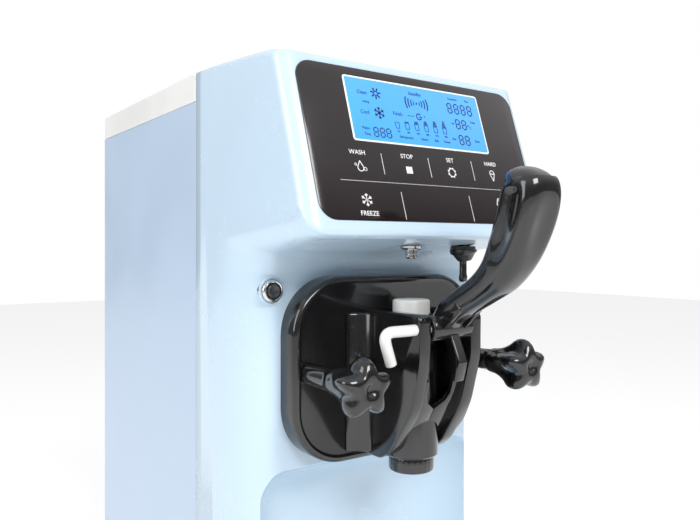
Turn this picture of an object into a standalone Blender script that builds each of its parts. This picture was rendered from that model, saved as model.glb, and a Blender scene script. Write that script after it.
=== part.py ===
"""Countertop soft serve ice cream machine, built as separate named pieces.

Metres, +Z up, front towards -Y. The origin is on the floor, in the middle of the overall box.
Every y value below is given as a distance behind the flat front face, through the function fy().
"""
import math

import bmesh
import bpy
from mathutils import Matrix, Vector

for old in list(bpy.data.objects):
    bpy.data.objects.remove(old, do_unlink=True)

# Overall sizes
BODY_WIDTH = 0.240          # across the side panels
BODY_DEPTH = 0.370          # flat front face to rear panel
BODY_HEIGHT = 0.640         # floor to top cover
HANDLE_REACH = 0.1824       # front of the draw handle in front of the flat front face
FOOT_HEIGHT = 0.030
SEAM_SETBACK = 0.102        # front moulding meets the side panels here
TOP_COVER_HEIGHT = 0.0254

# Clearances
GAP = 0.0003                # between pieces that sit against each other
SLIDE_GAP = 0.0006          # between pieces that move on each other
FINGER_GAP = 0.0010         # round the handle finger in the plunger slot

# Wall and sheet thicknesses
SHELL_WALL = 0.003
SHEET = 0.0015
COVER_WALL = 0.003
PAN_FLOOR = 0.002
FOOT_PEG = 0.0026

# Console
CONSOLE_REACH_LOW = 0.082   # bottom edge of the sloping face, in front of the front face
CONSOLE_REACH_HIGH = 0.044
CONSOLE_TOP_DROP = 0.016    # top edge of the sloping face, below the top
CONSOLE_FACE_DROP = 0.136   # bottom edge of the sloping face, below the top
CONSOLE_CORNER = 0.012
PANEL_MARGIN_SIDE = 0.010
PANEL_HEIGHT = 0.122
PANEL_CORNER = 0.014
PANEL_THICKNESS = 0.0015
SCREEN_WIDTH = 0.138
SCREEN_HEIGHT = 0.053
SCREEN_RISE = 0.027         # middle of the display above the middle of the panel
SCREEN_SHIFT = -0.001
BOARD_SIZE = (0.170, 0.100, 0.012)

# Front face, bay and base
FACE_CORNER = 0.020
BAY_DROP = 0.326            # top edge of the bay below the top of the machine
BAY_DEPTH = 0.035
BAY_MARGIN_SIDE = 0.010
BAY_END = 0.016             # width of the curved ends of the bay
BASE_RISE = 0.058           # deck of the base above the underside of the machine
NOSE_REACH = 0.110
NOSE_CORNER = 0.030

# Dispensing head
HEAD_DROP = 0.248           # middle of the head below the top of the machine
PLATE_HALF_WIDTH = 0.094
PLATE_HALF_HEIGHT = 0.073
PLATE_CORNER = 0.045
PLATE_THICKNESS = 0.020
VALVE_REACH = 0.044         # valve axis in front of the front face
PLUNGER_RADIUS = 0.0148
HOUSING_WALL = 0.0058
HOUSING_TOP = 0.044         # above the middle of the head
HOUSING_FOOT = -0.066
PLUNGER_TOP = 0.0545
PLUNGER_FOOT = -0.058
PASSAGE_RADIUS = 0.008
PASSAGE_DROP = 0.044
CHEEK_GAP = 0.040
CHEEK_THICKNESS = 0.011
PIVOT_REACH = 0.085
PIVOT_RISE = 0.0358
PIN_RADIUS = 0.0041
PIN_OVERHANG = 0.036
PIN_LEG = 0.024
PIN_LEAN = 0.008            # the leg leans towards the cheek, clear of the knob
BARREL_RADIUS = 0.0095
FINGER_ARM = 0.029          # pivot to the middle of the finger tip
FINGER_TIP = 0.004
FINGER_WIDTH = 0.008
HANDLE_TURN = math.radians(40.0)
NOZZLE_RADIUS = 0.018
NOZZLE_DROP = 0.0802
STUD_RADIUS = 0.004
KNOB_SPREAD = 0.080
KNOB_REACH = 0.099
KNOB_RADIUS = 0.0215
KNOB_LOBES = 5

# Freezing cylinder and drive
CYLINDER_BORE = 0.040
CYLINDER_WALL = 0.0025
CYLINDER_LENGTH = 0.190
COIL_TUBE = 0.004
COIL_TURNS = 4
INSULATION_WALL = 0.020
BEATER_SHAFT = 0.008
BEATER_TURNS = 1.5
GEARBOX_SIZE = (0.090, 0.044, 0.100)
MOTOR_RADIUS = 0.038
MOTOR_LENGTH = 0.075
MOTOR_DROP = 0.106          # motor axis below the cylinder axis
REDUCER_RADIUS = 0.048
MOTOR_PULLEY_RADIUS = 0.018
PULLEY_WIDTH = 0.014
BELT_THICKNESS = 0.004

# Hopper
HOPPER_HALF_WIDTH = 0.070
HOPPER_FRONT = 0.124
HOPPER_BACK = 0.336
HOPPER_DEPTH = 0.130
HOPPER_WALL = 0.0015
FLANGE_WIDTH = 0.010
LID_THICKNESS = 0.004
LID_RIM = 0.004
FEED_BACK = 0.178           # feed pipe and air tube behind the front face
AIR_TUBE_RADIUS = 0.0070
AIR_TUBE_WALL = 0.0015

# Refrigeration
COMPRESSOR_RADIUS = 0.056
COMPRESSOR_BACK = 0.130
MOTOR_ROOM = 0.014          # between the shelf and the motor
CONDENSER_SIZE = (0.180, 0.020)   # width, depth
CONDENSER_SHARE = 0.7843    # height as a share of the room under the shelf
CONDENSER_LIFT = 0.549      # its middle, as a share of the same room
COMPRESSOR_SHARE = 0.6373
FAN_SHARE = 0.425           # fan radius as a share of the condenser height
FAN_BLADES = 5
PIPE_RADIUS = 0.0035
DRIER_RADIUS = 0.009

# Bay fittings
TRAY_HALF_WIDTH = 0.082
TRAY_FRONT = -0.092
TRAY_BACK = 0.018
TRAY_DEPTH = 0.034
TRAY_WALL = 0.002
TRAY_RIM = 0.006
GRID_SLOTS = 6

FRONT_Y = -(BODY_DEPTH - HANDLE_REACH) / 2.0
TOP_Z = BODY_HEIGHT
HALF = BODY_WIDTH / 2.0
HEAD_Z = TOP_Z - HEAD_DROP
BAY_TOP = TOP_Z - BAY_DROP
DECK_Z = FOOT_HEIGHT + BASE_RISE
MOTOR_Z = HEAD_Z - MOTOR_DROP
SHELF_Z = MOTOR_Z - MOTOR_RADIUS - MOTOR_ROOM
SHELF_RISE = SHELF_Z - FOOT_HEIGHT
COMPRESSOR_HEIGHT = COMPRESSOR_SHARE * SHELF_RISE
CONDENSER_HEIGHT = CONDENSER_SHARE * SHELF_RISE
CONDENSER_Z = FOOT_HEIGHT + CONDENSER_LIFT * SHELF_RISE
FAN_RADIUS = FAN_SHARE * CONDENSER_HEIGHT
BAY_HALF_WIDTH = HALF - BAY_MARGIN_SIDE
PIVOT_Z = HEAD_Z + PIVOT_RISE
FINGER_START = -HANDLE_TURN / 2.0


def fy(behind_face):
    """World y of a point the given distance behind the flat front face."""
    return FRONT_Y + behind_face


# ---------------------------------------------------------------- building helpers

def build(name, bm, colour, rough=0.5, metal=0.0, origin=(0.0, 0.0, 0.0), crease=35.0):
    """Turn a bmesh in world coordinates into a named object with its own material and origin."""
    bmesh.ops.remove_doubles(bm, verts=bm.verts, dist=1e-6)
    bmesh.ops.recalc_face_normals(bm, faces=bm.faces)
    mesh = bpy.data.meshes.new(name)
    bm.to_mesh(mesh)
    bm.free()
    mesh.transform(Matrix.Translation(-Vector(origin)))
    for polygon in mesh.polygons:
        polygon.use_smooth = True
    mesh.set_sharp_from_angle(angle=math.radians(crease))
    obj = bpy.data.objects.new(name, mesh)
    obj.location = origin
    bpy.context.scene.collection.objects.link(obj)
    material = bpy.data.materials.new(name + "_material")
    material.use_nodes = True
    shader = material.node_tree.nodes["Principled BSDF"]
    shader.inputs["Base Color"].default_value = (*colour, 1.0)
    shader.inputs["Roughness"].default_value = rough
    shader.inputs["Metallic"].default_value = metal
    mesh.materials.append(material)
    return obj


def boolean(target, bm, name, operation="DIFFERENCE"):
    """Cut a bmesh out of an object, or join it on, with an exact boolean."""
    bmesh.ops.remove_doubles(bm, verts=bm.verts, dist=1e-6)
    bmesh.ops.recalc_face_normals(bm, faces=bm.faces)
    mesh = bpy.data.meshes.new(name)
    bm.to_mesh(mesh)
    bm.free()
    tool = bpy.data.objects.new(name, mesh)
    tool.hide_render = True
    tool.display_type = "WIRE"
    bpy.context.scene.collection.objects.link(tool)
    modifier = target.modifiers.new(name, "BOOLEAN")
    modifier.operation = operation
    modifier.solver = "EXACT"
    modifier.object = tool
    return tool


def spot(axis, a, b, along):
    """Point from two values across an axis and one along it."""
    return {"x": (along, a, b), "y": (a, along, b), "z": (a, b, along)}[axis]


def prism(bm, outline, axis, lo, hi):
    """Closed prism of a flat outline along one axis."""
    low = [bm.verts.new(spot(axis, a, b, lo)) for a, b in outline]
    high = [bm.verts.new(spot(axis, a, b, hi)) for a, b in outline]
    bm.faces.new(low)
    bm.faces.new(list(reversed(high)))
    for i in range(len(outline)):
        j = (i + 1) % len(outline)
        bm.faces.new((low[j], low[i], high[i], high[j]))
    return low + high


def box(bm, lo, hi):
    """Closed box between two corners."""
    outline = [(lo[0], lo[1]), (hi[0], lo[1]), (hi[0], hi[1]), (lo[0], hi[1])]
    return prism(bm, outline, "z", lo[2], hi[2])


def lathe(bm, profile, axis, centre, steps=20):
    """Turn a profile of (radius, along) points; the ends may lie on the axis."""
    rings = []
    for radius, along in profile:
        if radius < 1e-7:
            rings.append([bm.verts.new(spot(axis, centre[0], centre[1], along))])
            continue
        ring = []
        for i in range(steps):
            turn = 2.0 * math.pi * i / steps
            a = centre[0] + radius * math.cos(turn)
            b = centre[1] + radius * math.sin(turn)
            ring.append(bm.verts.new(spot(axis, a, b, along)))
        rings.append(ring)
    closed = all(radius > 1e-7 for radius, _ in profile)
    pairs = list(zip(rings, rings[1:])) + ([(rings[-1], rings[0])] if closed else [])
    for one, two in pairs:
        for i in range(steps):
            j = (i + 1) % steps
            if len(one) == 1:
                bm.faces.new((one[0], two[i], two[j]))
            elif len(two) == 1:
                bm.faces.new((one[i], one[j], two[0]))
            else:
                bm.faces.new((one[i], one[j], two[j], two[i]))


def rod(bm, radius, axis, centre, lo, hi, steps=20):
    """Plain round bar."""
    lathe(bm, [(0.0, lo), (radius, lo), (radius, hi), (0.0, hi)], axis, centre, steps)


def pipe(bm, outer, inner, axis, centre, lo, hi, steps=20):
    """Plain round pipe, open at both ends."""
    lathe(bm, [(inner, lo), (outer, lo), (outer, hi), (inner, hi)], axis, centre, steps)


def sweep(bm, path, radius, sides=8):
    """Round bar that follows a path of points."""
    points = [Vector(p) for p in path]
    side = (points[1] - points[0]).orthogonal().normalized()
    rings = []
    for i, point in enumerate(points):
        ahead = points[min(i + 1, len(points) - 1)]
        behind = points[max(i - 1, 0)]
        along = (ahead - behind).normalized()
        side = (side - along * side.dot(along)).normalized()
        other = along.cross(side)
        ring = []
        for k in range(sides):
            turn = 2.0 * math.pi * k / sides
            ring.append(bm.verts.new(point + (side * math.cos(turn) + other * math.sin(turn)) * radius))
        rings.append(ring)
    for one, two in zip(rings, rings[1:]):
        for k in range(sides):
            j = (k + 1) % sides
            bm.faces.new((one[k], one[j], two[j], two[k]))
    bm.faces.new(list(reversed(rings[0])))
    bm.faces.new(rings[-1])


def rounded(half_a, half_b, radius, steps=4, centre=(0.0, 0.0)):
    """Outline of a rectangle with round corners."""
    outline = []
    for sa, sb, start in ((1, 1, 0), (-1, 1, 90), (-1, -1, 180), (1, -1, 270)):
        for i in range(steps + 1):
            turn = math.radians(start + 90.0 * i / steps)
            a = centre[0] + sa * (half_a - radius) + radius * math.cos(turn)
            b = centre[1] + sb * (half_b - radius) + radius * math.sin(turn)
            outline.append((a, b))
    return outline


def bend(path, radius, steps=4):
    """Round off the inner corners of a path."""
    points = [Vector(p) for p in path]
    out = [points[0]]
    for before, corner, after in zip(points, points[1:], points[2:]):
        enter = corner + (before - corner).normalized() * radius
        leave = corner + (after - corner).normalized() * radius
        for i in range(steps + 1):
            t = i / steps
            out.append(enter * (1 - t) ** 2 + corner * 2 * t * (1 - t) + leave * t ** 2)
    out.append(points[-1])
    return out


# ---------------------------------------------------------------- housing

def front_outline():
    """Side outline of the front moulding: y, z, corner radius there and how far into the bay."""
    high, low = -CONSOLE_REACH_HIGH, -CONSOLE_REACH_LOW
    top = TOP_Z - CONSOLE_TOP_DROP
    lip = TOP_Z - CONSOLE_FACE_DROP
    corner = CONSOLE_CORNER
    return [
        (SEAM_SETBACK, TOP_Z, 0.0, 0), (0.064, TOP_Z - 0.002, 0.0, 0),
        (0.008, TOP_Z - 0.006, 0.0, 0), (high + 0.014, TOP_Z - 0.0095, corner, 0),
        (high + 0.004, TOP_Z - 0.0125, corner, 0), (high, top, corner, 0),
        (low, lip, corner, 0), (low - 0.0025, lip - 0.0055, corner, 0),
        (low + 0.001, lip - 0.009, corner, 0), (low + 0.008, lip - 0.0100, corner, 0),
        (-0.012, lip - 0.0185, corner, 0), (-0.003, lip - 0.0215, FACE_CORNER, 0),
        (0.0, lip - 0.027, FACE_CORNER, 0), (0.0, BAY_TOP, FACE_CORNER, 0),
        (0.75 * BAY_DEPTH, BAY_TOP - 0.022, FACE_CORNER, 1),
        (BAY_DEPTH, BAY_TOP - 0.040, FACE_CORNER, 1), (BAY_DEPTH, DECK_Z, FACE_CORNER, 1),
        (0.0, DECK_Z - 0.0005, NOSE_CORNER, 0), (-NOSE_REACH + 0.016, DECK_Z - 0.006, NOSE_CORNER, 0),
        (-NOSE_REACH + 0.003, DECK_Z - 0.016, NOSE_CORNER, 0),
        (-NOSE_REACH, FOOT_HEIGHT + 0.010, NOSE_CORNER, 0),
        (-NOSE_REACH + 0.004, FOOT_HEIGHT, NOSE_CORNER, 0), (SEAM_SETBACK, FOOT_HEIGHT, 0.0, 0),
    ]


def offset_outline(outline, wall):
    """Move a closed (y, z) outline inwards by a wall thickness, past the open back and bottom."""
    area = 0.0
    for (a, b), (c, d) in zip(outline, outline[1:] + outline[:1]):
        area += a * d - c * b
    sign = 1.0 if area > 0.0 else -1.0
    moved = []
    count = len(outline)
    for i, (a, b) in enumerate(outline):
        before, after = outline[i - 1], outline[(i + 1) % count]
        e1 = Vector((a - before[0], b - before[1])).normalized()
        e2 = Vector((after[0] - a, after[1] - b)).normalized()
        n1 = Vector((-e1.y, e1.x)) * sign
        n2 = Vector((-e2.y, e2.x)) * sign
        middle = (n1 + n2).normalized()
        reach = wall / max(0.45, middle.dot(n1))
        moved.append((a + middle.x * reach, b + middle.y * reach))
    return moved


def shell_loft(wall):
    """Loft of the front moulding, drawn in by a wall thickness (zero gives the outer skin)."""
    bm = bmesh.new()
    half = HALF - wall
    drops = [0.0, 0.0008, 0.0035, 0.0085, 0.014, 0.020, 0.026, 0.034]
    stations = [-half + d for d in drops] + [half - d for d in reversed(drops)]
    rings = []
    for x in stations:
        outline = []
        edge = half - abs(x)
        for y, z, radius, bay in front_outline():
            ease = max(radius - wall, 0.0)
            into = max(ease - edge, 0.0)
            y += ease - math.sqrt(max(ease ** 2 - into ** 2, 0.0))
            if bay:
                start = HALF - BAY_HALF_WIDTH - wall
                share = min(max((HALF - abs(x) - start) / BAY_END, 0.0), 1.0)
                y *= share * share * (3.0 - 2.0 * share)
            outline.append((y, z))
        if wall > 0.0:
            outline = offset_outline(outline, wall)
            past = 0.01
            outline = [(y + past if y > SEAM_SETBACK - 2 * wall else y,
                        z - past if z < FOOT_HEIGHT + 1.5 * wall else z) for y, z in outline]
        rings.append([bm.verts.new((x, fy(y), z)) for y, z in outline])
    for one, two in zip(rings, rings[1:]):
        for i in range(len(one)):
            j = (i + 1) % len(one)
            bm.faces.new((one[i], one[j], two[j], two[i]))
    bm.faces.new(list(reversed(rings[0])))
    bm.faces.new(rings[-1])
    return bm


def console_frame():
    """Matrix whose z axis stands out of the sloping console face, origin in the middle of the panel."""
    run = CONSOLE_REACH_LOW - CONSOLE_REACH_HIGH
    rise = CONSOLE_FACE_DROP - CONSOLE_TOP_DROP
    up = Vector((0.0, run, rise)).normalized()
    out = Vector((1.0, 0.0, 0.0)).cross(up)
    middle_y = fy(-(CONSOLE_REACH_LOW + CONSOLE_REACH_HIGH) / 2.0)
    middle_z = TOP_Z - (CONSOLE_FACE_DROP + CONSOLE_TOP_DROP) / 2.0
    frame = Matrix((Vector((1.0, 0.0, 0.0)), up, out)).transposed().to_4x4()
    frame.translation = Vector((0.0, middle_y, middle_z))
    return frame


def on_console(bm):
    """Move a bmesh drawn on the console face into the world."""
    bm.transform(console_frame())
    return bm


def panel_half_width():
    """Half width of the black console panel."""
    return HALF - PANEL_MARGIN_SIDE


def fitting_y():
    """World y of the two fittings under the console, in line with the valve."""
    return fy(-VALVE_REACH)


def underside_z(behind_face):
    """Height of the sloping underside of the console at one depth."""
    near = (-CONSOLE_REACH_LOW + 0.008, TOP_Z - CONSOLE_FACE_DROP - 0.0100)
    far = (-0.012, TOP_Z - CONSOLE_FACE_DROP - 0.0185)
    share = (behind_face - near[0]) / (far[0] - near[0])
    return near[1] + share * (far[1] - near[1])


SENSOR_SEAT = underside_z(-VALVE_REACH) - 0.0010
BOOT_X = 0.057
BOOT_RADIUS = 0.0104
SENSOR_RADIUS = 0.009
BUTTON_X = -0.1015
BUTTON_Z = TOP_Z - 0.1856
BUTTON_RADIUS = 0.0092
BARREL_HOLE = 0.0080


def front_shell():
    """Pale moulded front: console, flat face, bay and base nose in one hollow moulding."""
    shell = build("front_shell", shell_loft(0.0), (0.55, 0.68, 0.80), 0.25)
    boolean(shell, shell_loft(SHELL_WALL), "cutter_shell_inside")
    tool = bmesh.new()
    rod(tool, CYLINDER_BORE + CYLINDER_WALL + 0.006, "y", (0.0, HEAD_Z), fy(-0.01), fy(0.02), 28)
    boolean(shell, tool, "cutter_cylinder_opening")
    tool = bmesh.new()
    prism(tool, rounded(panel_half_width(), PANEL_HEIGHT / 2.0, PANEL_CORNER, 5), "z",
          -PANEL_THICKNESS, 0.02)
    boolean(shell, on_console(tool), "cutter_panel_seat")
    tool = bmesh.new()
    centre = (SCREEN_SHIFT, SCREEN_RISE)
    outline = rounded(SCREEN_WIDTH / 2.0 + 0.004, SCREEN_HEIGHT / 2.0 + 0.004, 0.003, 3, centre)
    prism(tool, outline, "z", -0.012, 0.02)
    boolean(shell, on_console(tool), "cutter_screen_opening")
    tool = bmesh.new()
    rod(tool, BARREL_HOLE + GAP, "y", (BUTTON_X, BUTTON_Z), fy(-0.01), fy(0.025))
    for x in (-KNOB_SPREAD, KNOB_SPREAD):
        rod(tool, STUD_RADIUS + SLIDE_GAP, "y", (x, HEAD_Z), fy(-0.01), fy(0.02), 12)
    boolean(shell, tool, "cutter_button_and_stud_holes")
    tool = bmesh.new()
    for x, radius in ((0.0, SENSOR_RADIUS), (BOOT_X, BOOT_RADIUS)):
        rod(tool, radius + 0.001, "z", (x, fitting_y()), SENSOR_SEAT - 0.02, SENSOR_SEAT)
        rod(tool, 0.0048 + GAP, "z", (x, fitting_y()), SENSOR_SEAT - 0.004, SENSOR_SEAT + 0.02, 16)
    boolean(shell, tool, "cutter_console_fittings")
    tool = bmesh.new()
    middle = (TRAY_FRONT + TRAY_BACK) / 2.0
    outline = rounded(TRAY_HALF_WIDTH + SLIDE_GAP, (TRAY_BACK - TRAY_FRONT) / 2.0 + SLIDE_GAP, 0.012, 3,
                      (0.0, fy(middle)))
    prism(tool, outline, "z", DECK_Z - 0.02, DECK_Z + 0.02)
    boolean(shell, tool, "cutter_tray_opening")
    return shell


def side_panels():
    """Two painted sheet sides behind the moulding."""
    for side, name in ((-1, "side_panel_left"), (1, "side_panel_right")):
        bm = bmesh.new()
        x = sorted((side * HALF, side * (HALF - SHEET)))
        box(bm, (x[0], fy(SEAM_SETBACK + GAP), FOOT_HEIGHT + 0.002),
            (x[1], fy(BODY_DEPTH), TOP_Z - TOP_COVER_HEIGHT - GAP))
        build(name, bm, (0.45, 0.55, 0.68), 0.35)


def rear_panel():
    """Painted rear sheet with two banks of cooling slots and openings for the inlet and switch."""
    bm = bmesh.new()
    x = HALF - SHEET - GAP
    box(bm, (-x, fy(BODY_DEPTH - SHEET), FOOT_HEIGHT + 0.002), (x, fy(BODY_DEPTH), rear_top()))
    panel = build("rear_panel", bm, (0.45, 0.55, 0.68), 0.35)
    tool = bmesh.new()
    pitch = CONDENSER_HEIGHT / 10.0
    slot = 0.1875 * pitch
    for row in range(-4, 5):
        z = CONDENSER_Z + pitch * row
        box(tool, (-0.070, fy(BODY_DEPTH - 0.01), z - slot), (0.070, fy(BODY_DEPTH + 0.01), z + slot))
    for row in range(5):
        z = HEAD_Z - 0.040 + 0.016 * row
        box(tool, (-0.070, fy(BODY_DEPTH - 0.01), z - 0.003), (0.070, fy(BODY_DEPTH + 0.01), z + 0.003))
    for centre_x, half_x, half_z in electric_openings():
        box(tool, (centre_x - half_x - GAP, fy(BODY_DEPTH - 0.01), INLET_Z - half_z - GAP),
            (centre_x + half_x + GAP, fy(BODY_DEPTH + 0.01), INLET_Z + half_z + GAP))
    boolean(panel, tool, "cutter_rear_slots")


def rear_top():
    """Top edge of the rear panel, just below the cover."""
    return TOP_Z - TOP_COVER_HEIGHT - GAP


INLET_Z = SHELF_Z + 0.032
INLET_X = -0.030
INLET_HALF = (0.0135, 0.0095)
SWITCH_X = 0.035
SWITCH_HALF = (0.0095, 0.0065)


def electric_openings():
    """Middle and half sizes of the openings for the mains inlet and the rocker switch."""
    return ((INLET_X, *INLET_HALF), (SWITCH_X, *SWITCH_HALF))


def top_cover():
    """White moulded cover with a skirt all round and an opening for the hopper."""
    bm = bmesh.new()
    front, back = fy(SEAM_SETBACK + GAP), fy(BODY_DEPTH)
    box(bm, (-HALF, front, TOP_Z - TOP_COVER_HEIGHT), (HALF, back, TOP_Z))
    cover = build("top_cover", bm, (0.85, 0.85, 0.83), 0.35)
    tool = bmesh.new()
    wall = COVER_WALL
    box(tool, (-HALF + wall, front + wall, TOP_Z - TOP_COVER_HEIGHT - 0.01),
        (HALF - wall, back - wall, TOP_Z - wall))
    boolean(cover, tool, "cutter_cover_inside")
    tool = bmesh.new()
    prism(tool, hopper_outline(SLIDE_GAP), "z", TOP_Z - 0.02, TOP_Z + 0.01)
    boolean(cover, tool, "cutter_cover_opening")


def hopper_outline(grow):
    """Plan outline of the hopper, grown or drawn in."""
    middle = (HOPPER_FRONT + HOPPER_BACK) / 2.0
    return rounded(HOPPER_HALF_WIDTH + grow, (HOPPER_BACK - HOPPER_FRONT) / 2.0 + grow,
                   0.020 + grow, 4, (0.0, fy(middle)))


def pan_outline(inset):
    """Plan outline of the base pan, narrowed inside the rounded nose."""
    x = HALF - SHELL_WALL - 2 * GAP - inset
    back = fy(BODY_DEPTH - SHEET - GAP) - inset
    front = fy(-NOSE_REACH + 0.010) + inset
    return [(-x, back), (-x, front + NOSE_CORNER), (-x + NOSE_CORNER, front),
            (x - NOSE_CORNER, front), (x, front + NOSE_CORNER), (x, back)]


def base_pan():
    """Folded steel pan that carries everything."""
    low, high = FOOT_HEIGHT + GAP, FOOT_HEIGHT + 0.014
    bm = bmesh.new()
    prism(bm, pan_outline(0.0), "z", low, high)
    pan = build("base_pan", bm, (0.55, 0.56, 0.57), 0.45, 1.0)
    tool = bmesh.new()
    prism(tool, pan_outline(SHEET), "z", low + PAN_FLOOR, high + 0.01)
    boolean(pan, tool, "cutter_pan_inside")
    tool = bmesh.new()
    for x_foot, y_foot in foot_places():
        rod(tool, FOOT_PEG + GAP, "z", (x_foot, y_foot), low - 0.01, low + 0.01, 12)
    boolean(pan, tool, "cutter_pan_foot_holes")


def foot_places():
    """Plan places of the four feet."""
    x = HALF - 0.030
    return [(sx * x, fy(y)) for sx in (-1, 1) for y in (-NOSE_REACH + 0.045, BODY_DEPTH - 0.036)]


def feet():
    """Four moulded rubber feet."""
    names = ("foot_front_left", "foot_rear_left", "foot_front_right", "foot_rear_right")
    for name, (x, y) in zip(names, foot_places()):
        bm = bmesh.new()
        lathe(bm, [(0.0, 0.0), (0.0150, 0.0), (0.0165, 0.0015), (0.0185, FOOT_HEIGHT - 0.001),
                   (0.0178, FOOT_HEIGHT), (FOOT_PEG, FOOT_HEIGHT), (FOOT_PEG, FOOT_HEIGHT + 0.004),
                   (0.0, FOOT_HEIGHT + 0.004)], "z", (x, y), 24)
        build(name, bm, (0.03, 0.03, 0.03), 0.8)


def inner_frame():
    """Welded frame: a shelf for the cylinder and motor, four posts, and the gearbox stand."""
    post, thick = 0.010, 0.002
    inset = HALF - SHELL_WALL - SHEET - 3 * GAP
    front, back = fy(SEAM_SETBACK + 0.004), fy(BODY_DEPTH - 0.030)
    waist = HALF - 0.035
    outline = [(-inset, front), (inset, front), (inset, front + 0.030), (waist, front + 0.030),
               (waist, back - 0.030), (inset, back - 0.030), (inset, back), (-inset, back),
               (-inset, back - 0.030), (-waist, back - 0.030), (-waist, front + 0.030),
               (-inset, front + 0.030)]
    bm = bmesh.new()
    prism(bm, outline, "z", SHELF_Z, SHELF_Z + thick)
    frame = build("inner_frame", bm, (0.6, 0.6, 0.62), 0.4, 1.0)
    tool = bmesh.new()
    for side in (-1, 1):
        for y in (front + 0.004, back - 0.004 - post):
            x = sorted((side * (inset - 0.0005), side * (inset - post)))
            box(tool, (x[0], y, FOOT_HEIGHT + PAN_FLOOR + 2 * GAP), (x[1], y + post, post_top()))
        x = sorted((side * (MOTOR_RADIUS + 0.002), side * STAND_HALF))
        box(tool, (x[0], fy(STAND_FRONT), SHELF_Z + 0.0005), (x[1], fy(STAND_BACK), stand_top()))
    boolean(frame, tool, "joiner_posts_and_legs", "UNION")
    tool = bmesh.new()
    box(tool, (-STAND_HALF + 0.0005, fy(STAND_FRONT) + 0.0005, stand_top() - 0.006),
        (STAND_HALF - 0.0005, fy(STAND_BACK) - 0.0005, stand_top() + 0.0))
    boolean(frame, tool, "joiner_stand_top", "UNION")


STAND_HALF = MOTOR_RADIUS + 0.012
STAND_FRONT = CYLINDER_LENGTH + 0.015
STAND_BACK = CYLINDER_LENGTH + 0.050


def post_top():
    """Top of the frame posts, just under the cover."""
    return TOP_Z - COVER_WALL - GAP


def stand_top():
    """Top of the stand that carries the gearbox."""
    return HEAD_Z - GEARBOX_SIZE[2] / 2.0 - GAP


# ---------------------------------------------------------------- console

def console():
    """Touch panel, display, control board, push button and the two fittings under the console."""
    bm = bmesh.new()
    outline = rounded(panel_half_width() - GAP, PANEL_HEIGHT / 2.0 - GAP, PANEL_CORNER - GAP, 5)
    prism(bm, outline, "z", -PANEL_THICKNESS + GAP, 0.0004)
    panel = build("touch_panel", on_console(bm), (0.012, 0.009, 0.010), 0.12)
    tool = bmesh.new()
    centre = (SCREEN_SHIFT, SCREEN_RISE)
    outline = rounded(SCREEN_WIDTH / 2.0 + GAP, SCREEN_HEIGHT / 2.0 + GAP, 0.002, 3, centre)
    prism(tool, outline, "z", -0.01, 0.01)
    boolean(panel, on_console(tool), "cutter_panel_window")
    bm = bmesh.new()
    outline = rounded(SCREEN_WIDTH / 2.0, SCREEN_HEIGHT / 2.0, 0.002, 3, centre)
    prism(bm, outline, "z", -0.008, 0.0)
    build("display_screen", on_console(bm), (0.08, 0.34, 0.80), 0.2)
    bm = bmesh.new()
    half_x, half_y = BOARD_SIZE[0] / 2.0, BOARD_SIZE[1] / 2.0
    prism(bm, rounded(half_x, half_y, 0.004, 2), "z", -0.008 - GAP - BOARD_SIZE[2], -0.008 - GAP)
    build("control_board", on_console(bm), (0.02, 0.16, 0.06), 0.5)
    push_button()
    sensor_and_switch()


def push_button():
    """Metal push button with a dark cap, in the left of the flat face."""
    bm = bmesh.new()
    face = -0.0030
    lathe(bm, [(0.0062, fy(0.014)), (0.0062, fy(face)), (0.0080, fy(face)),
               (BUTTON_RADIUS, fy(face + 0.0012)), (BUTTON_RADIUS, fy(-GAP)),
               (BARREL_HOLE, fy(-GAP)), (BARREL_HOLE, fy(0.014))], "y", (BUTTON_X, BUTTON_Z), 24)
    build("button_bezel", bm, (0.75, 0.75, 0.76), 0.25, 1.0)
    bm = bmesh.new()
    rod(bm, 0.0062 - SLIDE_GAP, "y", (BUTTON_X, BUTTON_Z), fy(face - 0.0010), fy(0.010), 24)
    build("button_cap", bm, (0.05, 0.06, 0.07), 0.35, 0.0, (BUTTON_X, fy(face), BUTTON_Z))


def sensor_and_switch():
    """Steel sensor above the valve and the rubber boot with its stalk beside it."""
    seat = SENSOR_SEAT - GAP
    bm = bmesh.new()
    lathe(bm, [(0.0, seat - 0.0100), (0.0040, seat - 0.0100), (0.00485, seat - 0.0092),
               (0.00485, seat - 0.0024), (0.0080, seat - 0.0024), (SENSOR_RADIUS, seat - 0.0016),
               (SENSOR_RADIUS, seat), (0.0048, seat), (0.0048, seat + 0.010),
               (0.0, seat + 0.010)], "z", (0.0, fitting_y()), 18)
    build("draw_sensor", bm, (0.72, 0.70, 0.68), 0.2, 1.0)
    bm = bmesh.new()
    lathe(bm, [(0.0042, seat - 0.0120), (0.0060, seat - 0.0110), (0.0095, seat - 0.0060),
               (0.0113, seat - 0.0044), (0.0113, seat - 0.0024), (BOOT_RADIUS, seat - 0.0016),
               (BOOT_RADIUS, seat), (0.0048, seat), (0.0048, seat + 0.010), (0.0042, seat + 0.010)],
          "z", (BOOT_X, fitting_y()), 18)
    build("switch_boot", bm, (0.02, 0.02, 0.02), 0.35)
    bm = bmesh.new()
    lathe(bm, [(0.0, seat - 0.0300), (0.0026, seat - 0.0300), (0.0035, seat - 0.0290),
               (0.0035, seat - 0.0100), (0.0024, seat - 0.0080), (0.0024, seat + 0.008),
               (0.0, seat + 0.008)], "z", (BOOT_X, fitting_y()), 12)
    build("switch_stalk", bm, (0.02, 0.02, 0.02), 0.35, 0.0, (BOOT_X, fitting_y(), seat))


# ---------------------------------------------------------------- dispensing head

HOUSING_RADIUS = PLUNGER_RADIUS + SLIDE_GAP + HOUSING_WALL
PLATE_BACK = -GAP
PLATE_FRONT = PLATE_BACK - PLATE_THICKNESS


def valve_spot():
    """Plan place of the valve axis."""
    return (0.0, fy(-VALVE_REACH))


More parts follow.
